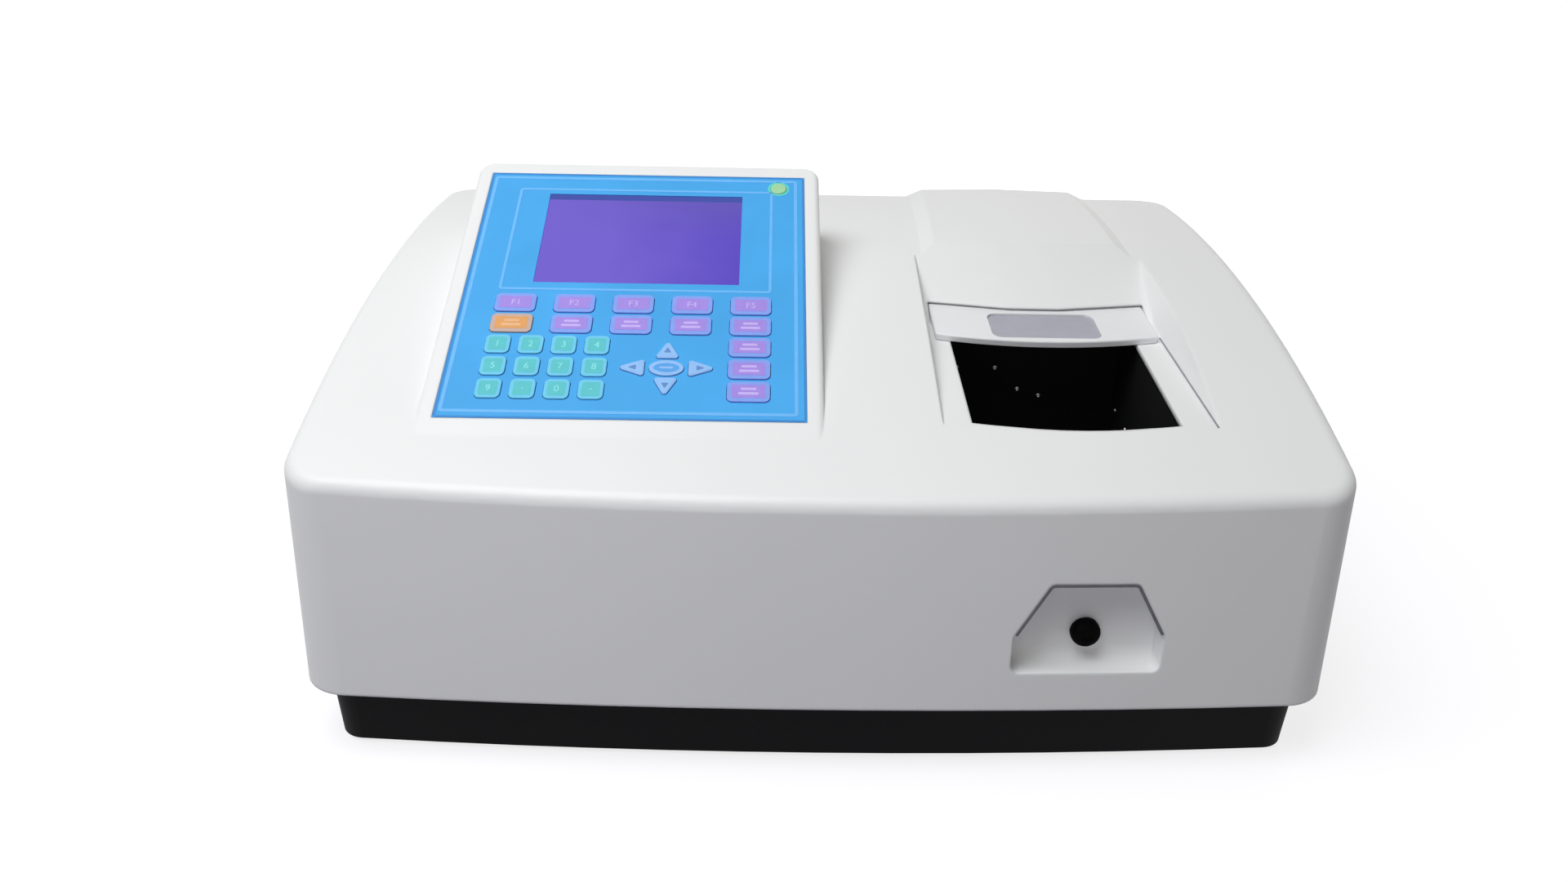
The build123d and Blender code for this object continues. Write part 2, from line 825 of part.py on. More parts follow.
# Fan rotor: hub and pitched blades
rotor_front_y = panel_inner_y - fan_depth + fan_mount_depth + slide_gap
rotor_middle_y = rotor_front_y + fan_rotor_depth / 2
blade_tip_radius = fan_bore_radius - fan_tip_gap
with BuildPart() as fan_rotor:
    with BuildSketch(Plane.XZ.offset(-rotor_front_y)):
        with Locations((fan_x, fan_z)):
            Circle(fan_hub_radius)
    extrude(amount=-fan_rotor_depth)
    for blade in range(fan_blades):
        turn = radians(blade * 360 / fan_blades)
        outwards = Vector(cos(turn), 0, sin(turn))
        root_radius = fan_hub_radius - blade_root
        with BuildSketch(
            Plane(
                origin=Vector(fan_x, rotor_middle_y, fan_z) + outwards * root_radius,
                x_dir=(0, 1, 0),
                z_dir=outwards,
            )
        ):
            Rectangle(blade_chord, blade_thickness, rotation=blade_pitch)
        extrude(amount=blade_tip_radius - root_radius)
    with BuildSketch(Plane.XZ.offset(-rotor_front_y)):
        with Locations((fan_x, fan_z)):
            Circle(blade_tip_radius)
    extrude(amount=-fan_rotor_depth, mode=Mode.INTERSECT)
fan_rotor.part.label = "fan_rotor"
export_step(fan_rotor.part, "parts/fan_rotor.step")

# Mains inlet with three flat pins, and beside it the well of the mains switch
with BuildPart() as power_inlet:
    with BuildSketch(Plane.XZ.offset(-bezel_face_y)):
        with Locations((inlet_x, inlet_z)):
            RectangleRounded(*inlet_bezel, wall)
    extrude(amount=inlet_bezel_thickness)
    with BuildSketch(Plane.XZ.offset(-back_panel_y)):
        with Locations((inlet_x, inlet_z)):
            Rectangle(*inlet_body)
    extrude(amount=inlet_body_depth)
    with BuildSketch(Plane.XZ.offset(-bezel_face_y)) as cavity:
        with Locations((inlet_x + socket_offset, inlet_z)):
            Rectangle(socket_width, socket_height)
        chamfer(cavity.vertices().group_by(Axis.Z)[-1], socket_chamfer)
    extrude(amount=socket_depth, mode=Mode.SUBTRACT)
    with BuildSketch(Plane.XZ.offset(socket_depth - bezel_face_y)):
        with Locations((inlet_x + socket_offset, inlet_z - pin_drop)):
            with Locations((-pin_pitch / 2, 0), (0, earth_rise), (pin_pitch / 2, 0)):
                Rectangle(*pin_size)
    extrude(amount=-pin_length)
    with BuildSketch(Plane.XZ.offset(-bezel_face_y)):
        with Locations((rocker_x, inlet_z)):
            Rectangle(rocker_width + 2 * rocker_gap, rocker_well_height)
    extrude(amount=rocker_well_depth, mode=Mode.SUBTRACT)
    with BuildSketch(Plane.YZ.offset(rocker_x)):
        with Locations((rocker_pivot_y, inlet_z)):
            Circle(rocker_pin_radius + rod_gap)
    extrude(
        amount=rocker_width / 2 + rocker_gap + rocker_pin_reach + rod_gap,
        both=True,
        mode=Mode.SUBTRACT,
    )
power_inlet.part.label = "power_inlet"
export_step(power_inlet.part, "parts/power_inlet.step")

# Mains rocker, a shallow V on a cross pin, with its lower end pressed in
tail_depth, tail_half = rocker_tail
rocker_plane = Plane(
    origin=(rocker_x, rocker_pivot_y, inlet_z),
    x_dir=(0, cos(radians(rocker_angle)), -sin(radians(rocker_angle))),
    z_dir=(1, 0, 0),
)
with BuildPart() as power_rocker:
    with BuildSketch(rocker_plane):
        with BuildLine():
            Polyline(
                (rocker_reach, rocker_half_height),
                (rocker_dip, 0),
                (rocker_reach, -rocker_half_height),
                (-rocker_waist, -rocker_half_height),
                (-tail_depth, -tail_half),
                (-tail_depth, tail_half),
                (-rocker_waist, rocker_half_height),
                close=True,
            )
        make_face()
    extrude(amount=rocker_width / 2, both=True)
    with BuildSketch(rocker_plane):
        Circle(rocker_pin_radius)
    extrude(amount=rocker_width / 2 + rocker_gap + rocker_pin_reach, both=True)
power_rocker.part.label = "power_rocker"
export_step(power_rocker.part, "parts/power_rocker.step")

# Main board on four standoffs, with chips and the two sockets that reach through the back panel
main_board_y = panel_inner_y - main_board_back_gap - main_board_length / 2
with BuildPart() as main_board:
    with BuildSketch(Plane.XY.offset(main_board_z)):
        with Locations((main_board_x, main_board_y)):
            Rectangle(main_board_width, main_board_length)
    extrude(amount=board_thickness)
    with BuildSketch(Plane.XY.offset(tray_floor_z)):
        with Locations((main_board_x, main_board_y)):
            with GridLocations(
                main_board_width - 2 * standoff_inset, main_board_length - 2 * standoff_inset, 2, 2
            ):
                Circle(standoff_radius)
    extrude(amount=main_board_z - tray_floor_z)
    with BuildSketch(Plane.XY.offset(board_top_z)):
        with Locations((main_board_x, main_board_y - chip_size[1])):
            with GridLocations(*chip_pitch, chip_columns, chip_rows):
                Rectangle(chip_size[0], chip_size[1])
    extrude(amount=chip_size[2])
    for socket_x, (width, depth, height) in sockets:
        with BuildSketch(Plane.XZ.offset(-back_panel_y - socket_proud)):
            with Locations((socket_x, board_top_z + height / 2)):
                Rectangle(width, height)
        extrude(amount=depth)
        with BuildSketch(Plane.XZ.offset(-back_panel_y - socket_proud)):
            with Locations((socket_x, board_top_z + height / 2)):
                Rectangle(width - 2 * socket_rim, height - 2 * socket_rim)
        extrude(amount=socket_recess, mode=Mode.SUBTRACT)
main_board.part.label = "main_board"
export_step(main_board.part, "parts/main_board.step")

# Power supply, a vented sheet-metal can on the tray's floor
supply_width, supply_length, supply_height = supply_size
with BuildPart() as power_supply:
    with BuildSketch(Plane.XY.offset(tray_floor_z)):
        with Locations((supply_x, supply_y)):
            Rectangle(supply_width, supply_length)
    extrude(amount=supply_height)
    with BuildSketch(Plane.XY.offset(tray_floor_z + supply_wall)):
        with Locations((supply_x, supply_y)):
            Rectangle(supply_width - 2 * supply_wall, supply_length - 2 * supply_wall)
    extrude(amount=supply_height - 2 * supply_wall, mode=Mode.SUBTRACT)
    with BuildSketch(Plane.XY.offset(tray_floor_z + supply_height)):
        with Locations((supply_x, supply_y)):
            with GridLocations(vent_pitch, vent_pitch, 1, vent_count):
                SlotOverall(supply_width - 2 * vent_margin, vent_slot)
    extrude(amount=-supply_wall, mode=Mode.SUBTRACT)
power_supply.part.label = "power_supply"
export_step(power_supply.part, "parts/power_supply.step")

# Heights and places along the light's path
beam_z = bench_top_z + beam_height
tub_x = opening_x
tub_front_y = front_y + tub_front_inset
tub_back_y = tub_front_y + tub_length
tub_floor_z = bench_top_z + tub_floor
carriage_length = 2 * carriage_end + (cell_count - 1) * cell_pitch + cell_side
carriage_back_y = tub_back_y - carriage_front_gap
carriage_front_y = carriage_back_y - carriage_length
carriage_low_z = tub_floor_z + carriage_lift
carriage_top_z = carriage_low_z + carriage_height
sample_beam_y = carriage_front_y + carriage_end + cell_side / 2
reference_front_y = tub_front_y + reference_gap
reference_beam_y = reference_front_y + reference_wall + cell_side / 2
bench_width = case_width / 2 - bench_side_inset - bench_low_x
bench_x = bench_low_x + bench_width / 2
mono_high_y = back_panel_y - inlet_body_depth - mono_inlet_gap
lamp_low_y = tub_back_y + tub_wall + lamp_tub_gap
lamp_high_y = panel_inner_y - fan_depth - lamp_fan_gap
wheel_y = lamp_low_y + lamp_beam_inset
wheel_x = mono_high_x + wheel_clearance
wheel_z = beam_z + wheel_circle
mono_floor_z = bench_top_z + mono_wall

# Optical bench, a cast plate on four legs that stand on the tray's floor
with BuildPart() as optical_bench:
    with BuildSketch(Plane.XY.offset(bench_top_z - bench_thickness)):
        with Locations((bench_x, bench_y)):
            Rectangle(bench_width, bench_depth)
    extrude(amount=bench_thickness)
    with BuildSketch(Plane.XY.offset(tray_floor_z)):
        with Locations((bench_x, bench_y)):
            with GridLocations(
                bench_width - 2 * bench_leg_inset, bench_depth - 2 * bench_leg_inset, 2, 2
            ):
                Circle(bench_leg_radius)
    extrude(amount=bench_top_z - bench_thickness - tray_floor_z)
    with BuildSketch(Plane.XY.offset(bench_top_z)):
        with Locations((flip_mirror_x, wheel_y)):
            Circle(spindle_radius + spindle_gap)
    extrude(amount=-spindle_depth - spindle_gap, mode=Mode.SUBTRACT)
optical_bench.part.label = "optical_bench"
export_step(optical_bench.part, "parts/optical_bench.step")

# Black sample tub: four walls up to the underside of the lid's bay, two floor ribs, beam holes
with BuildPart() as sample_tub:
    with BuildSketch(Plane.XY.offset(bench_top_z)):
        with Locations((tub_x, (tub_front_y + tub_back_y) / 2)):
            Rectangle(2 * (tub_half + tub_wall), tub_length + 2 * tub_wall)
    extrude(amount=crown_z)
    with BuildSketch(Plane.XY.offset(tub_floor_z)):
        with Locations((tub_x, (tub_front_y + tub_back_y) / 2)):
            Rectangle(2 * tub_half, tub_length)
    extrude(amount=crown_z, mode=Mode.SUBTRACT)
    add(inner_form, mode=Mode.INTERSECT)
    with BuildSketch(bay_plane.offset(-wall)):
        Rectangle(2 * case_depth, 2 * case_depth)
    extrude(amount=crown_z, mode=Mode.SUBTRACT)
    with BuildSketch(Plane.XY.offset(tub_floor_z)):
        for side in (-1, 1):
            with Locations((rod_x + side * rail_spacing / 2, (tub_front_y + tub_back_y) / 2)):
                Rectangle(rail_width, tub_length - 2 * rib_end_gap)
    extrude(amount=rail_height)
    with BuildSketch(Plane.YZ.offset(tub_x)):
        with Locations((reference_beam_y, beam_z), (sample_beam_y, beam_z)):
            Circle(beam_hole_radius)
    extrude(amount=tub_half + 2 * tub_wall, both=True, mode=Mode.SUBTRACT)
    with BuildSketch(Plane.XZ.offset(-tub_front_y)):
        with Locations((rod_x, rod_z)):
            Circle(rod_radius + rod_gap)
    extrude(amount=2 * tub_wall, mode=Mode.SUBTRACT)
sample_tub.part.label = "sample_tub"
export_step(sample_tub.part, "parts/sample_tub.step")

# Carriage for four cells, grooved underneath to run on the tub's ribs
with BuildPart() as cell_carriage:
    carriage_middle_y = (carriage_front_y + carriage_back_y) / 2
    with BuildSketch(Plane.XY.offset(carriage_low_z)):
        with Locations((rod_x, carriage_middle_y)):
            Rectangle(2 * carriage_half, carriage_length)
    extrude(amount=carriage_height)
    with BuildSketch(Plane.XY.offset(carriage_top_z)):
        with Locations((rod_x, carriage_middle_y)):
            with GridLocations(cell_pitch, cell_pitch, 1, cell_count):
                Rectangle(cell_side, cell_side)
    extrude(amount=-cell_depth, mode=Mode.SUBTRACT)
    with BuildSketch(Plane.XY.offset(carriage_low_z)):
        for side in (-1, 1):
            with Locations((rod_x + side * rail_spacing / 2, carriage_middle_y)):
                Rectangle(rail_width + 2 * slide_gap, carriage_length)
    extrude(amount=rail_height - carriage_lift + slide_gap, mode=Mode.SUBTRACT)
    with BuildSketch(Plane.YZ.offset(rod_x)):
        with Locations((carriage_middle_y, beam_z)):
            with GridLocations(cell_pitch, cell_pitch, cell_count, 1):
                Circle(beam_hole_radius)
    extrude(amount=carriage_half, both=True, mode=Mode.SUBTRACT)
    with BuildSketch(Plane.XZ.offset(-carriage_front_y)):
        with Locations((rod_x, rod_z)):
            Circle(rod_radius)
    extrude(amount=-rod_socket, mode=Mode.SUBTRACT)
cell_carriage.part.label = "cell_carriage"
export_step(cell_carriage.part, "parts/cell_carriage.step")

# Fixed holder of the reference cell on the tub's floor
with BuildPart() as reference_holder:
    with BuildSketch(Plane.XY.offset(tub_floor_z)):
        with Locations((reference_x, reference_beam_y)):
            Rectangle(2 * reference_half, cell_side + 2 * reference_wall)
    extrude(amount=carriage_top_z - tub_floor_z)
    with BuildSketch(Plane.XY.offset(carriage_top_z)):
        with Locations((reference_x, reference_beam_y)):
            Rectangle(cell_side, cell_side)
    extrude(amount=-cell_depth, mode=Mode.SUBTRACT)
    with BuildSketch(Plane.YZ.offset(reference_x)):
        with Locations((reference_beam_y, beam_z)):
            Circle(beam_hole_radius)
    extrude(amount=reference_half, both=True, mode=Mode.SUBTRACT)
reference_holder.part.label = "reference_holder"
export_step(reference_holder.part, "parts/reference_holder.step")

# Steel pull rod from the knob into the carriage
knob_back_y = front_y + pocket_depth - knob_gap
rod_front_y = knob_back_y - knob_socket
with BuildPart() as pull_rod:
    with BuildSketch(Plane.XZ.offset(-rod_front_y)):
        with Locations((rod_x, rod_z)):
            Circle(rod_radius)
    extrude(amount=rod_front_y - carriage_front_y - rod_socket)
pull_rod.part.label = "pull_rod"
export_step(pull_rod.part, "parts/pull_rod.step")

# Black domed pull knob with a small dimple
with BuildPart() as pull_knob:
    with BuildSketch(Plane.XZ.offset(-knob_back_y)):
        with Locations((rod_x, rod_z)):
            Circle(knob_radius)
    extrude(amount=knob_length)
    fillet(pull_knob.edges().sort_by(Axis.Y)[0], knob_edge)
    with BuildSketch(Plane.XZ.offset(knob_length - knob_back_y)):
        with Locations((rod_x, rod_z)):
            Circle(knob_dish)
    extrude(amount=-knob_dish_depth, mode=Mode.SUBTRACT)
    with BuildSketch(Plane.XZ.offset(-knob_back_y)):
        with Locations((rod_x, rod_z)):
            Circle(rod_radius)
    extrude(amount=knob_socket, mode=Mode.SUBTRACT)
pull_knob.part.label = "pull_knob"
export_step(pull_knob.part, "parts/pull_knob.step")

# Sliding sample lid, a flat plate with a bowed front edge and a grip pocket
with BuildPart() as sample_lid:
    with BuildSketch(bay_plane.offset(lid_lift)) as lid_plan:
        with BuildLine():
            ThreePointArc(
                (-lid_half, lid_front + lid_bow), (0, lid_front), (lid_half, lid_front + lid_bow)
            )
            Polyline(
                (lid_half, lid_front + lid_bow),
                (lid_half, lid_front + lid_length),
                (-lid_half, lid_front + lid_length),
                (-lid_half, lid_front + lid_bow),
            )
        make_face()
        fillet(lid_plan.vertices(), lid_corner)
    extrude(amount=lid_thickness)
    lid_top = sample_lid.faces().sort_by(Axis(bay_plane.origin, bay_plane.z_dir))[-1]
    fillet(lid_top.edges(), lid_edge)
    with BuildSketch(bay_plane.offset(lid_lift + lid_thickness)):
        with Locations((0, lid_front + grip_margin + grip_length / 2)):
            RectangleRounded(grip_width, grip_length, grip_corner)
    extrude(amount=-grip_depth, mode=Mode.SUBTRACT)
sample_lid.part.label = "sample_lid"
export_step(sample_lid.part, "parts/sample_lid.step")

# Every key by its name, outline, place on the panel and turn
keys = []
row_v = [key_row_start + row * key_row_pitch for row in range(key_rows)]
wide_x = [wide_column_start + column * wide_column_pitch for column in range(wide_columns)]
for column in range(wide_columns):
    keys.append((f"function_key_{column + 1}", "wide", wide_x[column], row_v[-1], 0))
keys.append(("shift_key", "wide", wide_x[0], row_v[-2], 0))
for column in range(1, wide_columns):
    keys.append((f"command_key_{column}", "wide", wide_x[column], row_v[-2], 0))
for row in range(square_rows):
    keys.append((f"menu_key_{row + 1}", "wide", wide_x[-1], row_v[-3 - row], 0))
    for column in range(square_columns):
        square_x = square_column_start + column * square_column_pitch
        number = row * square_columns + column + 1
        keys.append((f"number_key_{number}", "square", square_x, row_v[-3 - row], 0))
keys.append(("arrow_key_up", "upright", pad_x, row_v[1] + pad_reach_v, 0))
keys.append(("arrow_key_down", "upright", pad_x, row_v[1] - pad_reach_v, 180))
keys.append(("arrow_key_left", "sideways", pad_x - pad_reach_x, row_v[1], 90))
keys.append(("arrow_key_right", "sideways", pad_x + pad_reach_x, row_v[1], -90))
keys.append(("enter_key", "oval", pad_x, row_v[1], 0))


def key_outline(kind, grow):
    """Outline of a wide, square, arrow or oval key, grown by a gap all round."""
    with BuildSketch() as outline:
        if kind == "wide":
            RectangleRounded(wide_key[0] + 2 * grow, wide_key[1] + 2 * grow, key_corner + grow)
        if kind == "square":
            RectangleRounded(square_key + 2 * grow, square_key + 2 * grow, key_corner + grow)
        if kind == "oval":
            Ellipse(oval_key[0] / 2 + grow, oval_key[1] / 2 + grow)
        if kind in ("upright", "sideways"):
            length, width = upright_arrow if kind == "upright" else side_arrow
            with BuildLine():
                Polyline(
                    (0, length / 2), (-width / 2, -length / 2), (width / 2, -length / 2), close=True
                )
            make_face()
            fillet(outline.vertices(), arrow_corner)
            if grow > 0:
                offset(amount=grow)
    return outline.sketch


# Blue keypad film in the housing's shallow seat, with a hole for each key, the window and the lamp
with BuildPart() as keypad_overlay:
    with BuildSketch(panel_plane.offset(-film_thickness)):
        with Locations((0, film_centre_v)):
            Rectangle(panel_width, panel_length)
        with Locations((0, window_centre_v)):
            Rectangle(window_width, window_height, mode=Mode.SUBTRACT)
        with Locations((led_x, led_v)):
            Circle(led_diameter / 2 + led_gap, mode=Mode.SUBTRACT)
        for name, kind, x, v, turn in keys:
            with Locations(Location((x, v, 0), (0, 0, turn))):
                add(key_outline(kind, key_gap), mode=Mode.SUBTRACT)
    extrude(amount=film_thickness)
keypad_overlay.part.label = "keypad_overlay"
export_step(keypad_overlay.part, "parts/keypad_overlay.step")

# The thirty key pads of the film
panel_axis = Axis(panel_plane.origin, panel_plane.z_dir)
for name, kind, x, v, turn in keys:
    with BuildPart() as key_pad:
        with BuildSketch(panel_plane.offset(-key_sink)):
            with Locations(Location((x, v, 0), (0, 0, turn))):
                add(key_outline(kind, 0))
        extrude(amount=key_sink + key_height)
        fillet(key_pad.faces().sort_by(panel_axis)[-1].edges(), key_edge)
    key_pad.part.label = name
    export_step(key_pad.part, f"parts/{name}.step")

# Switch board under the keypad, with a dome under each key that leaves room for its travel
dome_height = wall - key_sink - key_travel - dome_gap
with BuildPart() as keypad_board:
    with BuildSketch(panel_plane.offset(-wall)):
        with Locations((0, keypad_cut_v)):
            Rectangle(keypad_cut_width + 2 * board_lap, keypad_cut_height + 2 * board_lap)
    extrude(amount=-board_thickness)
    with BuildSketch(panel_plane.offset(-wall)):
        with Locations(*[(x, v) for name, kind, x, v, turn in keys]):
            Circle(dome_diameter / 2)
    extrude(amount=dome_height)
keypad_board.part.label = "keypad_board"
export_step(keypad_board.part, "parts/keypad_board.step")

# Display module under the housing's top, its glass recessed in a frame
with BuildPart() as lcd_module:
    with BuildSketch(panel_plane.offset(-wall)):
        with Locations((0, window_centre_v)):
            Rectangle(
                window_width + 2 * (window_relief + lcd_lap_side),
                window_height + 2 * (window_relief + lcd_lap_end),
            )
    extrude(amount=-lcd_thickness)
    with BuildSketch(panel_plane.offset(-wall)):
        with Locations((0, window_centre_v)):
            Rectangle(window_width + 2 * window_relief, window_height + 2 * window_relief)
    extrude(amount=-lcd_glass_depth, mode=Mode.SUBTRACT)
lcd_module.part.label = "lcd_module"
export_step(lcd_module.part, "parts/lcd_module.step")

# Status lamp: a domed lens with a collar under the housing's top
with BuildPart() as status_led:
    with BuildSketch(panel_plane.offset(-wall)):
        with Locations((led_x, led_v)):
            Circle(led_diameter / 2)
    extrude(amount=wall + led_crown)
    fillet(status_led.faces().sort_by(panel_axis)[-1].edges(), led_crown)
    with BuildSketch(panel_plane.offset(-wall)):
        with Locations((led_x, led_v)):
            Circle(led_diameter / 2 + led_collar)
    extrude(amount=-led_collar)
status_led.part.label = "status_led"
export_step(status_led.part, "parts/status_led.step")

# Monochromator: an open case bolted to the bench, and its cover plate
mono_x = (mono_low_x + mono_high_x) / 2
mono_y = (mono_low_y + mono_high_y) / 2
grating_y = mono_y + grating_shift
mono_width = mono_high_x - mono_low_x
mono_length = mono_high_y - mono_low_y
with BuildPart() as monochromator_body:
    with BuildSketch(Plane.XY.offset(bench_top_z)):
        with Locations((mono_x, mono_y)):
            Rectangle(mono_width, mono_length)
    extrude(amount=mono_height)
    with BuildSketch(Plane.XY.offset(mono_floor_z)):
        with Locations((mono_x, mono_y)):
            Rectangle(mono_width - 2 * mono_wall, mono_length - 2 * mono_wall)
    extrude(amount=mono_height, mode=Mode.SUBTRACT)
    with BuildSketch(Plane.YZ.offset(mono_high_x)):
        with Locations((wheel_y, beam_z)):
            Circle(beam_hole_radius)
        with Locations((wheel_y, wheel_z)):
            Circle(spindle_radius + spindle_gap)
    extrude(amount=-mono_wall, mode=Mode.SUBTRACT)
    with BuildSketch(Plane.XZ.offset(-mono_low_y)):
        with Locations((beam_mirror_x, beam_z)):
            Circle(beam_hole_radius)
    extrude(amount=-mono_wall, mode=Mode.SUBTRACT)
    with BuildSketch(Plane.XY.offset(mono_floor_z)):
        with Locations((grating_x, grating_y)):
            Circle(spindle_radius + spindle_gap)
    extrude(amount=-spindle_depth - spindle_gap, mode=Mode.SUBTRACT)
with BuildPart() as monochromator_plate:
    with BuildSketch(Plane.XY.offset(bench_top_z + mono_height)):
        with Locations((mono_x, mono_y)):
            Rectangle(mono_width, mono_length)
    extrude(amount=mono_lid)
monochromator_case = Compound([monochromator_body.part, monochromator_plate.part])
monochromator_case.label = "monochromator_case"
export_step(monochromator_case, "parts/monochromator_case.step")

# Grating block on its turntable, with the spindle in the case's floor
grating_width, grating_depth, grating_tall = grating_size
with BuildPart() as grating_turntable:
    with BuildSketch(Plane.XY.offset(mono_floor_z - spindle_depth)):
        with Locations((grating_x, grating_y)):
            Circle(spindle_radius)
    extrude(amount=spindle_depth + table_gap)
    with BuildSketch(Plane.XY.offset(mono_floor_z + table_gap)):
        with Locations((grating_x, grating_y)):
            Circle(turntable_radius)
    extrude(amount=turntable_height)
    with BuildSketch(Plane.XY.offset(mono_floor_z + table_gap + turntable_height)):
        with Locations((grating_x, grating_y)):
            Rectangle(grating_depth, grating_width)
    extrude(amount=grating_tall)
grating_turntable.part.label = "grating_turntable"
export_step(grating_turntable.part, "parts/grating_turntable.step")

# Filter wheel on a shaft in the monochromator's wall
with BuildPart() as filter_wheel:
    with BuildSketch(Plane.YZ.offset(wheel_x)):
        with Locations((wheel_y, wheel_z)):
            Circle(wheel_radius)
            with PolarLocations(wheel_circle, wheel_holes, start_angle=-90):
                Circle(wheel_hole_radius, mode=Mode.SUBTRACT)
    extrude(amount=wheel_thickness)
    with BuildSketch(Plane.YZ.offset(wheel_x)):
        with Locations((wheel_y, wheel_z)):
            Circle(spindle_radius)
    extrude(amount=-wheel_clearance - wheel_bearing)
filter_wheel.part.label = "filter_wheel"
export_step(filter_wheel.part, "parts/filter_wheel.step")

# Lamp house, a vented sheet cover over both lamps
lamp_x = (lamp_low_x + lamp_high_x) / 2
lamp_y = (lamp_low_y + lamp_high_y) / 2
lamp_house_width = lamp_high_x - lamp_low_x
lamp_house_length = lamp_high_y - lamp_low_y
with BuildPart() as lamp_house:
    with BuildSketch(Plane.XY.offset(bench_top_z)):
        with Locations((lamp_x, lamp_y)):
            Rectangle(lamp_house_width, lamp_house_length)
    extrude(amount=lamp_height)
    with BuildSketch(Plane.XY.offset(bench_top_z)):
        with Locations((lamp_x, lamp_y)):
            Rectangle(lamp_house_width - 2 * lamp_wall, lamp_house_length - 2 * lamp_wall)
    extrude(amount=lamp_height - lamp_wall, mode=Mode.SUBTRACT)
    with BuildSketch(Plane.XY.offset(bench_top_z + lamp_height)):
        with Locations((lamp_x, lamp_y)):
            with GridLocations(vent_pitch, vent_pitch, 1, lamp_vent_count):
                SlotOverall(lamp_house_width - 2 * lamp_vent_margin, vent_slot)
    extrude(amount=-lamp_wall, mode=Mode.SUBTRACT)
    with BuildSketch(Plane.YZ.offset(lamp_low_x)):
        with Locations((wheel_y, beam_z)):
            Circle(beam_hole_radius)
    extrude(amount=lamp_wall, mode=Mode.SUBTRACT)
lamp_house.part.label = "lamp_house"
export_step(lamp_house.part, "parts/lamp_house.step")

# Deuterium and tungsten lamps, each on its base
with BuildPart() as lamps:
    for place, radius, height in (
        ((lamp_row_x, lamp_high_y - deuterium_inset), deuterium_radius, deuterium_height),
        ((lamp_row_x, lamp_low_y + tungsten_inset), tungsten_radius, tungsten_height),
    ):
        with BuildSketch(Plane.XY.offset(bench_top_z)):
            with Locations(place):
                Circle(radius + lamp_base_lip)
        extrude(amount=lamp_base_height)
        with BuildSketch(Plane.XY.offset(bench_top_z + lamp_base_height)):
            with Locations(place):
                Circle(radius)
        extrude(amount=height)
        lamp_top_z = bench_top_z + lamp_base_height + height
        lamp_tops = lamps.faces().filter_by_position(Axis.Z, lamp_top_z, lamp_top_z)
        fillet(lamp_tops.edges(), lamp_edge)
lamps.part.label = "lamps"
export_step(lamps.part, "parts/lamps.step")

# Flip mirror that picks one of the lamps, on a post with its spindle in the bench
mirror_width, mirror_depth, mirror_tall = mirror_size
mirror_low_z = beam_z - mirror_tall / 2
with BuildPart() as lamp_mirror:
    with BuildSketch(Plane.XY.offset(bench_top_z - spindle_depth)):
        with Locations((flip_mirror_x, wheel_y)):
            Circle(spindle_radius)
    extrude(amount=spindle_depth + table_gap)
    with BuildSketch(Plane.XY.offset(bench_top_z + table_gap)):
        with Locations((flip_mirror_x, wheel_y)):
            Circle(flip_post_radius)
    extrude(amount=mirror_low_z - bench_top_z - table_gap)
    with BuildSketch(Plane.XY.offset(mirror_low_z)):
        with Locations((flip_mirror_x, wheel_y)):
            Rectangle(mirror_depth, mirror_width)
    extrude(amount=mirror_tall)
lamp_mirror.part.label = "lamp_mirror"
export_step(lamp_mirror.part, "parts/lamp_mirror.step")

# Fixed mirrors: two that send the beams through the tub, two inside the monochromator
mirror_places = [
    (beam_mirror_x, reference_beam_y, 45.0, bench_top_z),
    (beam_mirror_x, sample_beam_y, 45.0, bench_top_z),
]
fold_mirror_ys = (mono_low_y + fold_mirror_insets[0], mono_high_y - fold_mirror_insets[1])
for place_y, turn in zip(fold_mirror_ys, fold_mirror_turns):
    mirror_places.append((fold_mirror_x, place_y, turn, mono_floor_z))
with BuildPart() as fixed_mirrors:
    for place_x, place_y, turn, foot_z in mirror_places:
        with BuildSketch(Plane.XY.offset(foot_z)):
            with Locations(Location((place_x, place_y, 0), (0, 0, turn))):
                Rectangle(mirror_foot_width, mirror_foot_width)
        extrude(amount=mirror_low_z - foot_z)
        with BuildSketch(Plane.XY.offset(mirror_low_z)):
            with Locations(Location((place_x, place_y, 0), (0, 0, turn))):
                Rectangle(mirror_width, mirror_depth)
        extrude(amount=mirror_tall)
fixed_mirrors.part.label = "fixed_mirrors"
export_step(fixed_mirrors.part, "parts/fixed_mirrors.step")

# Detector block beside the tub, with a photodiode can in line with each beam
detector_low_x = tub_x + tub_half + tub_wall + detector_gap
detector_low_y = reference_beam_y - detector_margin
detector_high_y = sample_beam_y + detector_margin
with BuildPart() as detectors:
    with BuildSketch(Plane.XY.offset(bench_top_z)):
        with Locations((detector_low_x + detector_depth / 2, (detector_low_y + detector_high_y) / 2)):
            Rectangle(detector_depth, detector_high_y - detector_low_y)
    extrude(amount=detector_height)
    with BuildSketch(Plane.YZ.offset(detector_low_x)):
        with Locations((reference_beam_y, beam_z), (sample_beam_y, beam_z)):
            Circle(detector_can_radius)
    extrude(amount=-detector_can_length)
detectors.part.label = "detectors"
export_step(detectors.part, "parts/detectors.step")
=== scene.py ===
import json
from math import atan, cos, pi, radians, sin, tan

import bmesh
import bpy
import numpy as np
from mathutils import Matrix, Vector


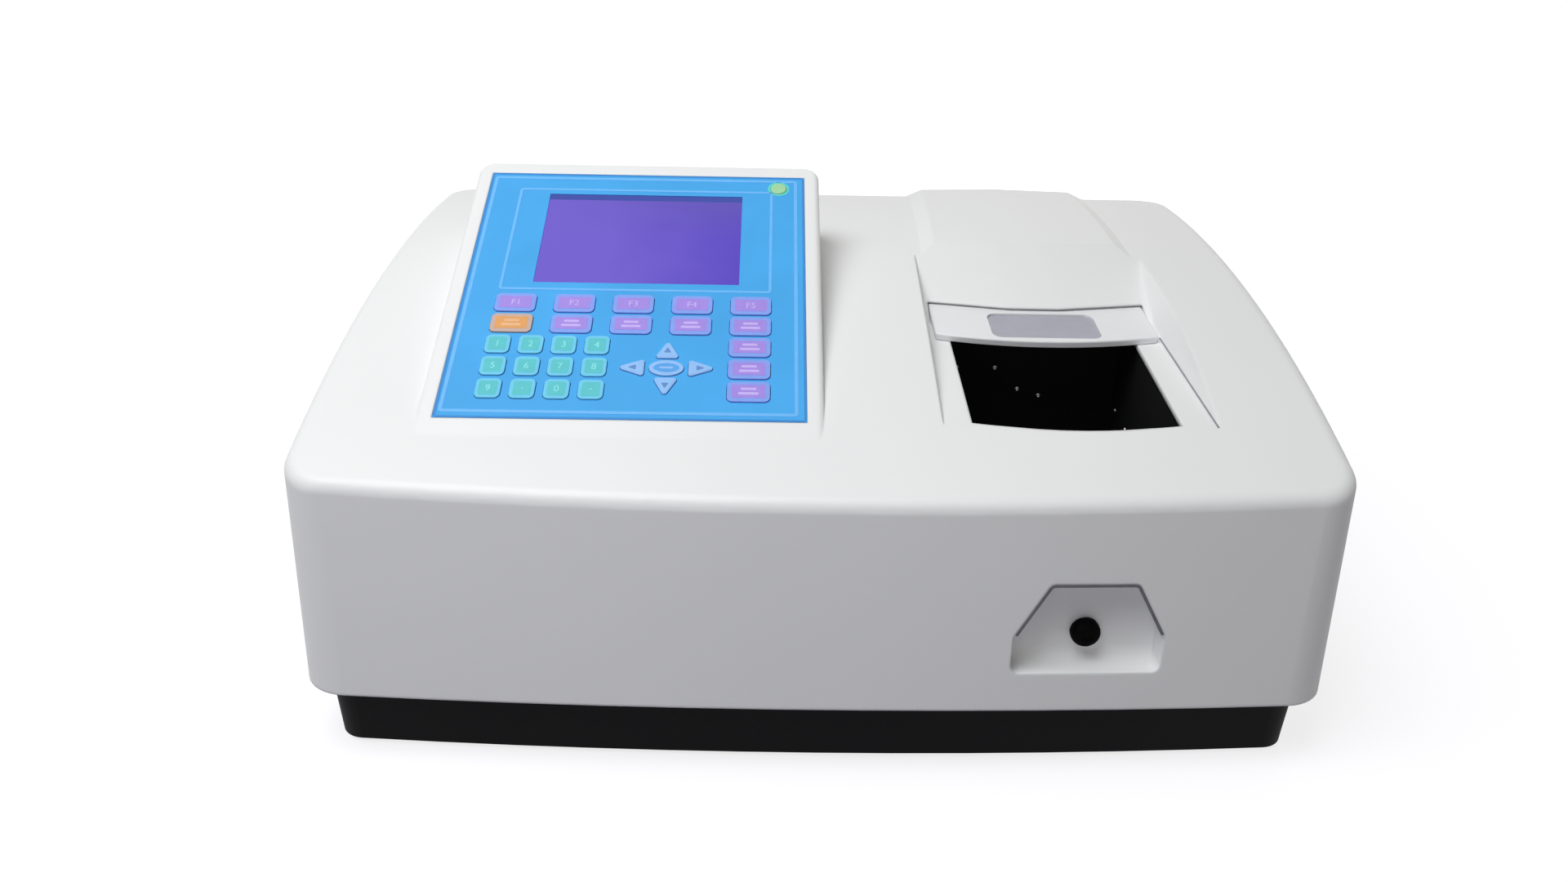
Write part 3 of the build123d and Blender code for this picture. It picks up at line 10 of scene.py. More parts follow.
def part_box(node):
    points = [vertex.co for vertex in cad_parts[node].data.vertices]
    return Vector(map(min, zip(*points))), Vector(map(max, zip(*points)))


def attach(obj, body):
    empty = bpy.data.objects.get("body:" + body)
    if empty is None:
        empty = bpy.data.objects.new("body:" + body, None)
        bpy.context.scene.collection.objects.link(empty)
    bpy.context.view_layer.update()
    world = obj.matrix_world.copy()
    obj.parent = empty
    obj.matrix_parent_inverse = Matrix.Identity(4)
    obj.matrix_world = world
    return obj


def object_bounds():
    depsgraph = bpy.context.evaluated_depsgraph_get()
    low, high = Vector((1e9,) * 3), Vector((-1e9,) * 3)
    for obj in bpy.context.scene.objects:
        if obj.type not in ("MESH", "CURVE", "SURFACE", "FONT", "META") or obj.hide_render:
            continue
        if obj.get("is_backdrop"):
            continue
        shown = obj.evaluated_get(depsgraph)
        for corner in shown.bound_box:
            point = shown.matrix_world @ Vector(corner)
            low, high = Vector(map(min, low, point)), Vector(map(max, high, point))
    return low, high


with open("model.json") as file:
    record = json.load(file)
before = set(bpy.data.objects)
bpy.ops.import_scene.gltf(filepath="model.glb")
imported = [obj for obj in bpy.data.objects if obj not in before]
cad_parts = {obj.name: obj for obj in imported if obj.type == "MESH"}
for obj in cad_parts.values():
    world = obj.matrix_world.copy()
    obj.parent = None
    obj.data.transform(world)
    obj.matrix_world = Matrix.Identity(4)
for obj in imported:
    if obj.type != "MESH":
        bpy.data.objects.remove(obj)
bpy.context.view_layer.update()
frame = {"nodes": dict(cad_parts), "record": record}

# The studio. The instrument stands on a pale bench top in a plain white room, lit by the room, by a large
# soft lamp above its left front and by weak ones before and behind it, and is seen from above its front.
eye = Vector((-0.0285, -0.698, 0.4179))
look_down, look_right, head_tilt = radians(23.65), radians(0.839), radians(1.156)
focal_length, film_back = 26.19, 36.0
# Each lamp's name, place, aim, width, watts and colour.
soft_lamps = (("soft_lamp", (-0.45, -0.50, 1.42), (0.0, -0.05, 0.15), 0.9, 17.3, (0.97, 0.985, 1.005)),
              ("front_lamp", (-0.35, -1.50, 0.50), (0.0, -0.15, 0.12), 0.7, 2.0, (0.95, 0.95, 1.07)),
              ("back_lamp", (0.75, 1.45, 0.40), (0.05, 0.15, 0.12), 0.8, 6.5, (1.02, 1.0, 0.95)))
room_light, room_tint = 0.145, (1.04, 1.0, 0.87)
bench_half, bench_colour, bench_roughness, bench_shine = 30.0, (0.295, 0.29, 0.33), 0.9, 0.1
glow_near, glow_far, glow_reach = 0.74, 0.96, 1.6

photographer_lens = bpy.data.cameras.new("photographer")
photographer_lens.lens, photographer_lens.sensor_width = focal_length, film_back
photographer = bpy.data.objects.new("photographer", photographer_lens)
gaze = Matrix.Rotation(-look_right, 4, "Z") @ Matrix.Rotation(pi / 2 - look_down, 4, "X")
photographer.matrix_world = Matrix.Translation(eye) @ gaze @ Matrix.Rotation(head_tilt, 4, "Z")
bpy.context.scene.collection.objects.link(photographer)
bpy.context.scene.camera = photographer
bpy.context.scene.view_settings.view_transform = "Standard"

for lamp_name, place, aim, width, watts, colour in soft_lamps:
    bulb = bpy.data.lights.new(lamp_name, "AREA")
    bulb.shape, bulb.size, bulb.energy, bulb.color = "SQUARE", width, watts, colour
    lamp = bpy.data.objects.new(lamp_name, bulb)
    facing = (Vector(aim) - Vector(place)).to_track_quat("-Z", "Y")
    lamp.matrix_world = Matrix.LocRotScale(Vector(place), facing, None)
    lamp.visible_glossy = lamp_name != "back_lamp"
    bpy.context.scene.collection.objects.link(lamp)


def node(tree, kind, **values):
    """One new shader node, with its properties and the values of its unlinked sockets."""
    made = tree.nodes.new("ShaderNode" + kind)
    for name, value in values.items():
        if hasattr(made, name):
            setattr(made, name, value)
        else:
            made.inputs[name.replace("_", " ").title().replace("Ior", "IOR")].default_value = value
    return made


def feed(tree, source, socket):
    """Links another node's output to a socket, or sets the socket where the source is a plain value."""
    if isinstance(source, bpy.types.NodeSocket):
        tree.links.new(source, socket)
    else:
        socket.default_value = source


def reckon(tree, operation, *terms, **values):
    """Output of a Math node on terms that are sockets or numbers."""
    made = node(tree, "Math", operation=operation, **values)
    for term, socket in zip(terms, made.inputs):
        feed(tree, term, socket)
    return made.outputs[0]


def remapped(tree, value, low=0.0, high=1.0, start=0.0, end=1.0):
    """A value taken from the range low to high to the range start to end, and held to its ends."""
    made = node(tree, "MapRange")
    sources = {"Value": value, "From Min": low, "From Max": high, "To Min": start, "To Max": end}
    for name, source in sources.items():
        feed(tree, source, made.inputs[name])
    return made.outputs["Result"]


def seen_rays(tree):
    """1 for rays that see the background (camera, glossy, transmission), 0 for those that light the part."""
    path = node(tree, "LightPath").outputs
    seen = reckon(tree, "MAXIMUM", path["Is Camera Ray"], path["Is Glossy Ray"])
    return reckon(tree, "MAXIMUM", seen, path["Is Transmission Ray"])


room = bpy.data.worlds.new("room")
room.use_nodes = True
bpy.context.scene.world = room
shown = node(room.node_tree, "ValToRGB")
shown.color_ramp.elements[0].color = (*[room_light * part for part in room_tint], 1)
shown.color_ramp.elements[1].color = (1, 1, 1, 1)
feed(room.node_tree, seen_rays(room.node_tree), shown.inputs["Fac"])
feed(room.node_tree, shown.outputs["Color"], room.node_tree.nodes["Background"].inputs["Color"])


def open_material(name):
    """A new node material, with its tree and its main shader."""
    material = bpy.data.materials.new(name)
    material.use_nodes = True
    return material, material.node_tree, material.node_tree.nodes["Principled BSDF"]


bench_finish, tree, shader = open_material("bench_laminate")
shader.inputs["Base Color"].default_value = (*bench_colour, 1)
shader.inputs["Roughness"].default_value = bench_roughness
shader.inputs["Specular IOR Level"].default_value = bench_shine
shader.inputs["Emission Color"].default_value = (1, 1, 1, 1)
distance = node(tree, "VectorMath", operation="LENGTH")
feed(tree, node(tree, "TexCoord").outputs["Object"], distance.inputs[0])
glow = remapped(tree, distance.outputs["Value"], high=glow_reach, start=glow_near, end=glow_far)
feed(tree, reckon(tree, "MULTIPLY", glow, seen_rays(tree)), shader.inputs["Emission Strength"])
bench_top = bpy.data.meshes.new("bench_top")
along = np.array([-bench_half, bench_half, bench_half, -bench_half])
bench_corners = np.column_stack([along, np.roll(along, 1), np.zeros(4)])
bench_top.from_pydata(bench_corners.tolist(), [], [(0, 1, 2, 3)])
bench_top.materials.append(bench_finish)
bench = bpy.data.objects.new("bench_top", bench_top)
bpy.context.scene.collection.objects.link(bench)
bench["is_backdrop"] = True

# Top cover: one white injection moulding in ABS, with a fine spark-eroded grain and softly rounded edges,
# screwed to the tray's flange from below.
cover_white = (0.83, 0.835, 0.835)
cover_patch, cover_grain, cover_edge, edge_samples = 0.16, 0.0005, 0.0022, 6
noise_usual_range, slow_detail, fine_detail = (0.3, 0.7), 3.0, 1.5


def grown_finish(name, colour, drift=0.05, patch=0.03, rough=0.5, rough_drift=0.12, grain=0.0006,
                 depth=0.00002, metal=0.0, edge=0.0, level=0.5):
    """Finish of a moulded, painted, cast or machined surface, on Object coordinates.

    Colour = colour x (1 + drift x (slow noise - 1/2)), the slow noise in patches of the given size, and
    roughness follows the same noise. The bump is a fine noise of the grain's size and depth. edge softens
    sharp corners by that radius.
    """
    material, tree, shader = open_material(name)
    place = node(tree, "TexCoord").outputs["Object"]
    slow = node(tree, "TexNoise", scale=1 / patch, detail=slow_detail)
    fine = node(tree, "TexNoise", scale=1 / grain, detail=fine_detail)
    for noise in (slow, fine):
        feed(tree, place, noise.inputs["Vector"])
    shades = node(tree, "ValToRGB")
    for stop, at, side in zip(shades.color_ramp.elements, noise_usual_range, (-0.5, 0.5)):
        stop.position = at
        stop.color = (*[min(1.0, part * (1 + drift * side)) for part in colour], 1)
    feed(tree, slow.outputs["Fac"], shades.inputs["Fac"])
    feed(tree, shades.outputs["Color"], shader.inputs["Base Color"])
    smoothest, roughest = rough * (1 - rough_drift), rough * (1 + rough_drift)
    sheen = remapped(tree, slow.outputs["Fac"], start=smoothest, end=roughest)
    feed(tree, sheen, shader.inputs["Roughness"])
    relief = node(tree, "Bump", strength=1.0, distance=depth)
    feed(tree, fine.outputs["Fac"], relief.inputs["Height"])
    if edge > 0:
        soft = node(tree, "Bevel", samples=edge_samples, radius=edge)
        feed(tree, soft.outputs["Normal"], relief.inputs["Normal"])
    feed(tree, relief.outputs["Normal"], shader.inputs["Normal"])
    shader.inputs["Metallic"].default_value = metal
    shader.inputs["Specular IOR Level"].default_value = level
    return material


def dress(nodes, material):
    """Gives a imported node, or each of several, its finish."""
    for name in [nodes] if isinstance(nodes, str) else nodes:
        frame["nodes"][name].data.materials[0] = material


dress("top_cover", grown_finish("cover_styrene", cover_white, drift=0.02, patch=cover_patch, rough=0.42,
                                grain=cover_grain, depth=0.000015, edge=cover_edge, level=0.45))

# Base tray: a shallow pan moulded in black plastic with a coarse grain. Its flange closes the cover from
# below, and its floor carries the optical bench, the power supply and the main board.
tray_black = (0.0045, 0.0045, 0.0052)
dress("base_tray", grown_finish("tray_moulding", tray_black, drift=0.5, patch=0.02, rough=0.6,
                                grain=0.0009, depth=0.00006, level=0.08))

# Feet and case screws: four moulded rubber discs pressed into pockets under the tray, and six zinc-plated
# screws that come up through its flange into the cover's bosses.
rubber_black, plated_grey = (0.018, 0.018, 0.019), (0.60, 0.60, 0.58)
dress("rubber_feet", grown_finish("foot_rubber", rubber_black, drift=0.4, patch=0.006, rough=0.85,
                                  grain=0.0004, depth=0.00005, level=0.25))
screw_zinc = grown_finish("screw_zinc", plated_grey, drift=0.25, patch=0.003, rough=0.32,
                          grain=0.0003, depth=0.00001, metal=1.0)
dress("case_screws", screw_zinc)

# Back panel: a steel sheet with a light grey powder coat and a punched grille, which stands on the tray's
# flange inside the cover's rear cut-out. It carries the fan, the mains inlet and the holes of the data
# sockets.
panel_grey = (0.47, 0.48, 0.50)
dress("rear_panel", grown_finish("panel_powder_coat", panel_grey, drift=0.06, patch=0.04, rough=0.48,
                                 grain=0.0012, depth=0.00004, edge=0.0005))

# Cooling fan: a frame moulded in glass-filled nylon, with four screw holes and the motor's mount on four
# struts, against the panel's inner face. A bladed rotor of the same nylon turns on the mount.
fan_black = grown_finish("fan_nylon", (0.013, 0.013, 0.015), drift=0.4, patch=0.01, rough=0.42,
                         grain=0.0007, depth=0.00003)
dress(["fan_frame", "fan_rotor"], fan_black)

# Mains inlet: a moulded black socket and switch well snapped into the back panel, with three
# nickel-plated pins, and its two-pole rocker.
inlet_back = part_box("power_inlet")[1].y
socket_x, pin_half_room, pin_low_z, pin_high_z = -0.071, 0.0085, 0.0945, 0.1060
pin_foot_inset, pin_tip_inset = 0.0168, 0.0025
pin_nickel = (0.62, 0.60, 0.55)
pin_room = ((socket_x - pin_half_room, inlet_back - pin_foot_inset, pin_low_z),
            (socket_x + pin_half_room, inlet_back - pin_tip_inset, pin_high_z))


def inside(tree, place, low, high):
    """1 where Object coordinates lie in the box from low to high, else 0: a product of six comparisons."""
    parts = node(tree, "SeparateXYZ")
    feed(tree, place, parts.inputs[0])
    tests = [reckon(tree, operation, parts.outputs[axis], bound) for axis in range(3)
             for bound, operation in ((low[axis], "GREATER_THAN"), (high[axis], "LESS_THAN"))]
    product = tests[0]
    for test in tests[1:]:
        product = reckon(tree, "MULTIPLY", product, test)
    return product


def blend(tree, kind, factor, first, second):
    """Output of a Mix node of a kind, RGBA or FLOAT: first x (1 - factor) + second x factor."""
    mix = node(tree, "Mix", data_type=kind)
    ends = [socket for socket in mix.inputs if socket.enabled and socket.name in ("Factor", "A", "B")]
    for source, socket in zip((factor, first, second), ends):
        feed(tree, source, socket)
    return next(socket for socket in mix.outputs if socket.enabled)


def inlay(material, low, high, colour, rough, metal):
    """Gives the stretch of a finish in the box from low to high another colour, roughness and metalness."""
    tree = material.node_tree
    shader = tree.nodes["Principled BSDF"]
    where = inside(tree, node(tree, "TexCoord").outputs["Object"], low, high)
    for name, kind, value in (("Base Color", "RGBA", (*colour, 1)), ("Roughness", "FLOAT", rough),
                              ("Metallic", "FLOAT", metal)):
        socket = shader.inputs[name]
        before = socket.links[0].from_socket if socket.links else socket.default_value
        feed(tree, blend(tree, kind, where, before, value), socket)
    return material


inlet_nylon = grown_finish("inlet_nylon", (0.014, 0.014, 0.016), drift=0.3, patch=0.012, rough=0.38,
                           grain=0.0006, depth=0.00002)
dress("power_inlet", inlay(inlet_nylon, *pin_room, pin_nickel, rough=0.3, metal=1.0))
dress("power_rocker", grown_finish("rocker_nylon", (0.02, 0.02, 0.022), drift=0.25, patch=0.008,
                                   rough=0.28, grain=0.0006, depth=0.00001))

# Main board: green glass laminate on four standoffs, with black chips and two nickel-plated sockets at
# its rear edge that reach through the back panel.
board_green, chip_black, socket_nickel = (0.012, 0.10, 0.035), (0.012, 0.012, 0.013), (0.55, 0.55, 0.53)
board_top, socket_room, far = 0.0776, 0.02, 1.0
sockets_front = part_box("main_board")[1].y - socket_room
board_laminate = grown_finish("board_laminate", board_green, drift=0.35, patch=0.004, rough=0.35,
                              grain=0.0008, depth=0.00002)
inlay(board_laminate, (-far, -far, board_top), (far, sockets_front, far), chip_black, rough=0.45, metal=0.0)
inlay(board_laminate, (-far, sockets_front, board_top), (far, far, far), socket_nickel, rough=0.3, metal=1.0)
dress("main_board", board_laminate)

# Power supply: a folded can of galvanised steel sheet with vent slots, on the tray's floor under the main
# board.
dress("power_supply", grown_finish("supply_zinc", (0.52, 0.53, 0.54), drift=0.18, patch=0.009, rough=0.38,
                                   grain=0.0008, depth=0.00001, metal=1.0))

# Optical bench: an aluminium plate, sand-cast and machined on top, on four legs that stand on the tray's
# floor. All the optics are screwed down on it.
dress("optical_bench", grown_finish("bench_casting", (0.43, 0.44, 0.45), drift=0.16, patch=0.012,
                                    rough=0.6, grain=0.0011, depth=0.00009, metal=0.85))

# Monochromator: a black-painted cast case with its cover plate; in it the turned aluminium grating table
# and, in the beam before it, the filter wheel. The detector block carries the same paint.
optics_enamel = grown_finish("optics_enamel", (0.02, 0.021, 0.023), drift=0.3, patch=0.02, rough=0.5,
                             grain=0.0009, depth=0.00004)
dress(["monochromator_case", "detectors"], optics_enamel)
dress(["grating_turntable", "filter_wheel"],
      grown_finish("turned_aluminium", (0.70, 0.71, 0.72), drift=0.12, patch=0.003, rough=0.28,
                   grain=0.0002, depth=0.00001, metal=1.0))

# Lamp house and mirrors: a vented sheet-steel cover over a deuterium and a tungsten lamp of fused quartz,
# the flip mirror that picks one of them, and the fixed mirrors on their posts.
quartz_clearness, quartz_index = 0.85, 1.46
dress("lamp_house", grown_finish("lamp_house_steel", (0.36, 0.37, 0.38), drift=0.2, patch=0.01, rough=0.42,
                                 grain=0.0006, depth=0.00001, metal=1.0))
dress(["fixed_mirrors", "lamp_mirror"],
      grown_finish("mirror_aluminium", (0.86, 0.87, 0.88), drift=0.03, patch=0.01, rough=0.06,
                   grain=0.002, depth=0.000001, metal=1.0))
quartz = grown_finish("lamp_quartz", (0.90, 0.93, 0.95), drift=0.04, patch=0.01, rough=0.05,
                      grain=0.003, depth=0.000002)
quartz.node_tree.nodes["Principled BSDF"].inputs["Transmission Weight"].default_value = quartz_clearness
quartz.node_tree.nodes["Principled BSDF"].inputs["IOR"].default_value = quartz_index
dress("lamps", quartz)

# Sample tub: a folded steel box painted dull black inside so that no stray light comes back, screwed to
# the bench through its back and right walls. The screw heads shine in the dark. The cell carriage and the
# reference holder in it are black anodised aluminium.
dress("sample_tub", grown_finish("tub_matt_paint", (0.004, 0.004, 0.0042), drift=0.4, patch=0.02,
                                 rough=0.75, grain=0.0009, depth=0.00004, level=0.15))
dress(["cell_carriage", "reference_holder"],
      grown_finish("carriage_anodising", (0.006, 0.006, 0.0065), drift=0.3, patch=0.006, rough=0.5,
                   grain=0.0003, depth=0.00001, level=0.25))
tub_sheet, weld_reach = 0.0025, 1e-7
screw_head_radius, screw_head_rise, screw_drive, drive_floor = 0.0016, 0.0008, 0.45, 0.3
# The screws in the back wall lie at (x, z), those in the right wall at (y, z).
back_wall_screws = ((0.0913, 0.1694), (0.1159, 0.1698), (0.1316, 0.1554), (0.1458, 0.1511))
right_wall_screws = ((-0.0171, 0.1445), (-0.0413, 0.1414))


def add_piece(name, points, faces, materials, body, slot, kinds=None, smooth=False):
    """A closed mesh object that rides on a body: faces joined and turned outwards, each with its material."""
    mesh = bpy.data.meshes.new(name)
    mesh.from_pydata(np.asarray(points).tolist(), [], [tuple(face) for face in faces])
    for material in materials:
        mesh.materials.append(material)
    if kinds is not None:
        mesh.polygons.foreach_set("material_index", np.asarray(kinds, np.int32))
    work = bmesh.new()
    work.from_mesh(mesh)
    bmesh.ops.remove_doubles(work, verts=work.verts, dist=weld_reach)
    bmesh.ops.recalc_face_normals(work, faces=work.faces)
    work.to_mesh(mesh)
    work.free()
    mesh.polygons.foreach_set("use_smooth", np.full(len(mesh.polygons), smooth))
    piece = bpy.data.objects.new(name, mesh)
    bpy.context.scene.collection.objects.link(piece)
    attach(piece, body)
    return piece


def gathered(parts):
    """Points, faces and kinds of several parts (points, faces, kind) as one mesh."""
    points, faces, kinds, base = [], [], [], 0
    for part_points, part_faces, kind in parts:
        points.append(part_points)
        faces += [[base + corner for corner in face] for face in part_faces]
        kinds += [kind] * len(part_faces)
        base += len(part_points)
    return np.vstack(points), faces, kinds


def turned_head(radius, rise, drive, turns=20, bends=5):
    """Pan head of a screw on z: rings of radius r(s) at height h(s), a quarter of an ellipse from the rim to
    the drive, then the drive's wall and floor. The angle round a ring runs once round."""
    bend = np.linspace(0, pi / 2, bends)
    dome = np.column_stack([radius * (drive + (1 - drive) * np.cos(bend)), rise * np.sin(bend)])
    profile = np.vstack([[[radius, -rise]], dome, [[radius * drive, rise * drive_floor]]])
    angle = np.linspace(0, 2 * pi, turns, endpoint=False)
    circle = np.column_stack([np.cos(angle), np.sin(angle)])
    rings = profile[:, None, :1] * circle[None]
    heights = np.broadcast_to(profile[:, None, 1:], (len(profile), turns, 1))
    index = np.arange(len(profile) * turns).reshape(len(profile), turns)
    step = np.roll(index, -1, axis=1)
    quads = np.stack([index[:-1], step[:-1], step[1:], index[1:]], axis=-1).reshape(-1, 4)
    caps = [index[0][::-1].tolist(), index[-1].tolist()]
    return np.concatenate([rings, heights], axis=2).reshape(-1, 3), [*quads.tolist(), *caps]


tub_back_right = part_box("sample_tub")[1]
back_wall_y, right_wall_x = tub_back_right.y - tub_sheet, tub_back_right.x - tub_sheet
head, head_faces = turned_head(screw_head_radius, screw_head_rise, screw_drive)
heads = [(np.column_stack([x + head[:, 0], back_wall_y - head[:, 2], z + head[:, 1]]), head_faces, 0)
         for x, z in back_wall_screws]
heads += [(np.column_stack([right_wall_x - head[:, 2], y + head[:, 0], z + head[:, 1]]), head_faces, 0)
          for y, z in right_wall_screws]
chamber_points, chamber_faces, chamber_kinds = gathered(heads)
add_piece("chamber_screws", chamber_points, chamber_faces, [screw_zinc], "case", "screw_steel",
          chamber_kinds, smooth=True)

# Pull rod and knob: a ground steel rod pressed into a domed black phenolic knob, which stands in the
# cover's front pocket. A thin dark grey strip along the pocket's upper rim and slanted sides is painted
# shadow under that edge.
dress("pull_rod", grown_finish("rod_steel", (0.58, 0.58, 0.59), drift=0.08, patch=0.004, rough=0.22,
                               grain=0.0002, depth=0.000005, metal=1.0))
dress("pull_knob", grown_finish("knob_phenolic", (0.002, 0.002, 0.0023), drift=0.3, patch=0.004,
                                rough=0.5, grain=0.0005, depth=0.00001, level=0.02))
pocket_middle_x, pocket_half_low, pocket_half_top = 0.141, 0.0402, 0.023
pocket_shoulder_z, pocket_top_z, pocket_radius = 0.087, 0.118, 0.004
shadow_strip_width, shadow_strip_reach, shadow_strip_proud, shadow_strip_tail = 0.0016, 0.0025, 0.0001, 0.0015
front_y, front_bow, front_half_width = -0.1975, 0.010, 0.2825
cover_bottom_z, front_lean = 0.042, radians(2.4)


def rounded_path(core, radius, steps=6):
    """Points and outward normals round a polygon whose corners are arcs: corner + radius x (cos a, sin a),
    with a from the normal of the edge before the corner to that of the edge after it."""
    core = np.asarray(core, float)
    edge = np.roll(core, -1, axis=0) - core
    after = np.arctan2(-edge[:, 0], edge[:, 1])
    before = np.roll(after, 1)
    swing = np.mod(after - before, 2 * pi)
    angle = before[:, None] + swing[:, None] * np.linspace(0, 1, steps)[None]
    normals = np.stack([np.cos(angle), np.sin(angle)], axis=-1)
    points = core[:, None] + radius * normals
    return points.reshape(-1, 2), normals.reshape(-1, 2)


def carried(path, profile, loop=False, ring=True):
    """Surface of a profile carried along a path: point + out x normal, at the profile's height.

    A loop profile is a closed section, an open one is closed by a flat face on its low and high side.
    Along a path that isn't a ring, the first and last sections are closed by a face.
    """
    points, normals = path
    profile = np.asarray(profile, float)
    flat = points[:, None] + profile[None, :, :1] * normals[:, None]
    height = np.broadcast_to(profile[None, :, 1:], (*flat.shape[:2], 1))
    grid = np.concatenate([flat, height], axis=2)
    index = np.arange(grid.shape[0] * grid.shape[1]).reshape(grid.shape[:2])
    on, up = np.roll(index, -1, axis=0), np.roll(index, -1, axis=1)
    quads = np.stack([index, on, np.roll(on, -1, axis=1), up], axis=-1)
    quads = quads if loop else quads[:, :-1]
    quads = quads if ring else quads[:-1]
    faces = quads.reshape(-1, 4).tolist()
    faces += [] if loop else [index[::-1, 0].tolist(), index[:, -1].tolist()]
    faces += [] if ring else [index[0].tolist(), index[-1, ::-1].tolist()]
    return grid.reshape(-1, 3), faces


def pocket_shadow_strip(arc_points=7):
    """Strip of painted shadow along the pocket's upper rim: a rectangle carried from shoulder to shoulder by
    way of two arcs, each point moved back by the front's bow, x^2 b / w^2, and lean, (z - z0) tan a."""
    lean = atan((pocket_half_low - pocket_half_top) / (pocket_top_z - pocket_shoulder_z))
    arc_x = pocket_half_top - pocket_radius * tan(pi / 4 - lean / 2)
    right_arc = np.linspace(lean, pi / 2, arc_points)
    angle = np.concatenate([right_arc, np.linspace(pi / 2, pi - lean, arc_points)])
    outward = np.column_stack([np.cos(angle), np.sin(angle)])
    middles = np.repeat([[arc_x, pocket_top_z - pocket_radius], [-arc_x, pocket_top_z - pocket_radius]],
                        arc_points, axis=0)
    tail = [pocket_half_low - shadow_strip_tail * sin(lean), pocket_shoulder_z + shadow_strip_tail]
    path = np.vstack([[tail], middles + pocket_radius * outward, [[-tail[0], tail[1]]]])
    outward = np.vstack([outward[:1], outward, outward[-1:]])
    section = [(-shadow_strip_width, -shadow_strip_proud), (0, -shadow_strip_proud), (0, shadow_strip_reach), (-shadow_strip_width, shadow_strip_reach)]
    points, faces = carried((path, outward), section, loop=True, ring=False)
    x, z, y = points[:, 0] + pocket_middle_x, points[:, 1], points[:, 2]
    back = front_bow * (x / front_half_width) ** 2 + (z - cover_bottom_z) * tan(front_lean)
    return np.column_stack([x, front_y + back + y, z]), faces


# The strip's dark grey is painted shadow of the pocket's upper edge.
pocket_painted_shadow = grown_finish("pocket_painted_shadow", (0.17, 0.17, 0.185), drift=0.25, patch=0.005, rough=0.7,
                           grain=0.0004, depth=0.00003, level=0.2)
add_piece("pocket_shadow_strip", *pocket_shadow_strip(), [pocket_painted_shadow], "case", "foot_rubber")

# Sample lid: a white plate moulded in ABS that slides back under the hood. The lavender grey plate laid in
# its grip pocket is painted shade of the pocket's wall, and the thin grey line along the foot of the bay's
# right wall is painted shade of the crease there.
lid_slope, lid_thickness, lid_edge = radians(9.0916), 0.0042, 0.0012
grip_width, grip_length, grip_corner, grip_margin, grip_depth = 0.066, 0.032, 0.006, 0.0045, 0.0022
pad_gap, pad_rise, pad_edge = 0.0003, 0.0010, 0.0003
bay_middle_x, bay_front_y, bay_front_z = 0.1385, -0.1405, 0.1837
bay_half, bay_taper = 0.074, 0.026
foot_line_start, foot_line_end, foot_line_width, foot_line_rise, foot_line_gap = 0.002, 0.105, 0.0010, 0.0004, 0.0002
dress("sample_lid", grown_finish("lid_styrene", (0.82, 0.825, 0.84), drift=0.02, patch=0.08, rough=0.4,
                                 grain=0.0005, depth=0.000015, edge=0.0006))


def rounded_box(width, height, radius, middle=(0, 0), steps=6):
    """Points and normals of a width x height outline about its middle, with its corners rounded."""
    across, up = width / 2 - radius, height / 2 - radius
    core = np.array([(-across, -up), (across, -up), (across, up), (-across, up)])
    return rounded_path(core + middle, radius, steps)


def plate(low, high, chamfer, inset=0.0):
    """Profile of a thin plate: out from its path by -inset, from low to high, with a small chamfer."""
    return [(-inset, low), (-inset, high - chamfer), (-inset - chamfer, high)]


def strip(width, low, rise):
    """Loop profile of a thin line: width across, from low to rise above it."""
    return [(-width / 2, low), (width / 2, low), (width / 2, low + rise), (-width / 2, low + rise)]


def laid(points, origin, up_slope):
    """Points (x, along, above) of a plane that rises backwards by up_slope, put in the frame."""
    basis = np.array([[1, 0, 0], [0, cos(up_slope), sin(up_slope)], [0, -sin(up_slope), cos(up_slope)]])
    return points @ basis + np.asarray(origin)


lid_low, lid_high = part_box("sample_lid")
lid_front_z = lid_low.z + (lid_thickness - lid_edge) * cos(lid_slope)
lid_front_edge = Vector(((lid_low.x + lid_high.x) / 2, lid_low.y, lid_front_z))
lid_top_front = lid_front_edge + lid_edge * Vector((0, -sin(lid_slope), cos(lid_slope)))
pad_outline = rounded_box(grip_width - 2 * pad_gap, grip_length - 2 * pad_gap, grip_corner - pad_gap,
                          (0, grip_margin + grip_length / 2))
pad_points, pad_faces = carried(pad_outline, plate(-grip_depth, pad_rise - grip_depth, pad_edge))
# The grip plate's lavender grey is painted shade, standing in for the shaded wall of the grip pocket.
grip_painted_shade = grown_finish("grip_painted_shade", (0.42, 0.42, 0.48), drift=0.10, patch=0.012, rough=0.62,
                              grain=0.0004, depth=0.00003, level=0.35)
add_piece("lid_grip_pad", laid(pad_points, lid_top_front, lid_slope), pad_faces, [grip_painted_shade],
          "sliding_lid", "lid_plastic")
# A thin grey line along the foot of the bay's right wall: painted shade of the crease there.
foot_line_x = bay_half - foot_line_gap - foot_line_width / 2
foot_line_ends = np.array([[foot_line_x, foot_line_start], [foot_line_x - bay_taper * foot_line_end, foot_line_end]])
foot_line_sides = np.array([[1.0, 0.0], [1.0, 0.0]])
foot_line_points, foot_line_faces = carried((foot_line_ends, foot_line_sides), strip(foot_line_width, 0.0, foot_line_rise),
                                  loop=True, ring=False)
foot_painted_shade = grown_finish("foot_painted_shade", (0.30, 0.30, 0.325), drift=0.2, patch=0.005, rough=0.7,
                           grain=0.0004, depth=0.00003, level=0.2)
add_piece("bay_foot_shade_line", laid(foot_line_points, (bay_middle_x, bay_front_y, bay_front_z), lid_slope),
          foot_line_faces, [foot_painted_shade], "case", "foot_rubber")
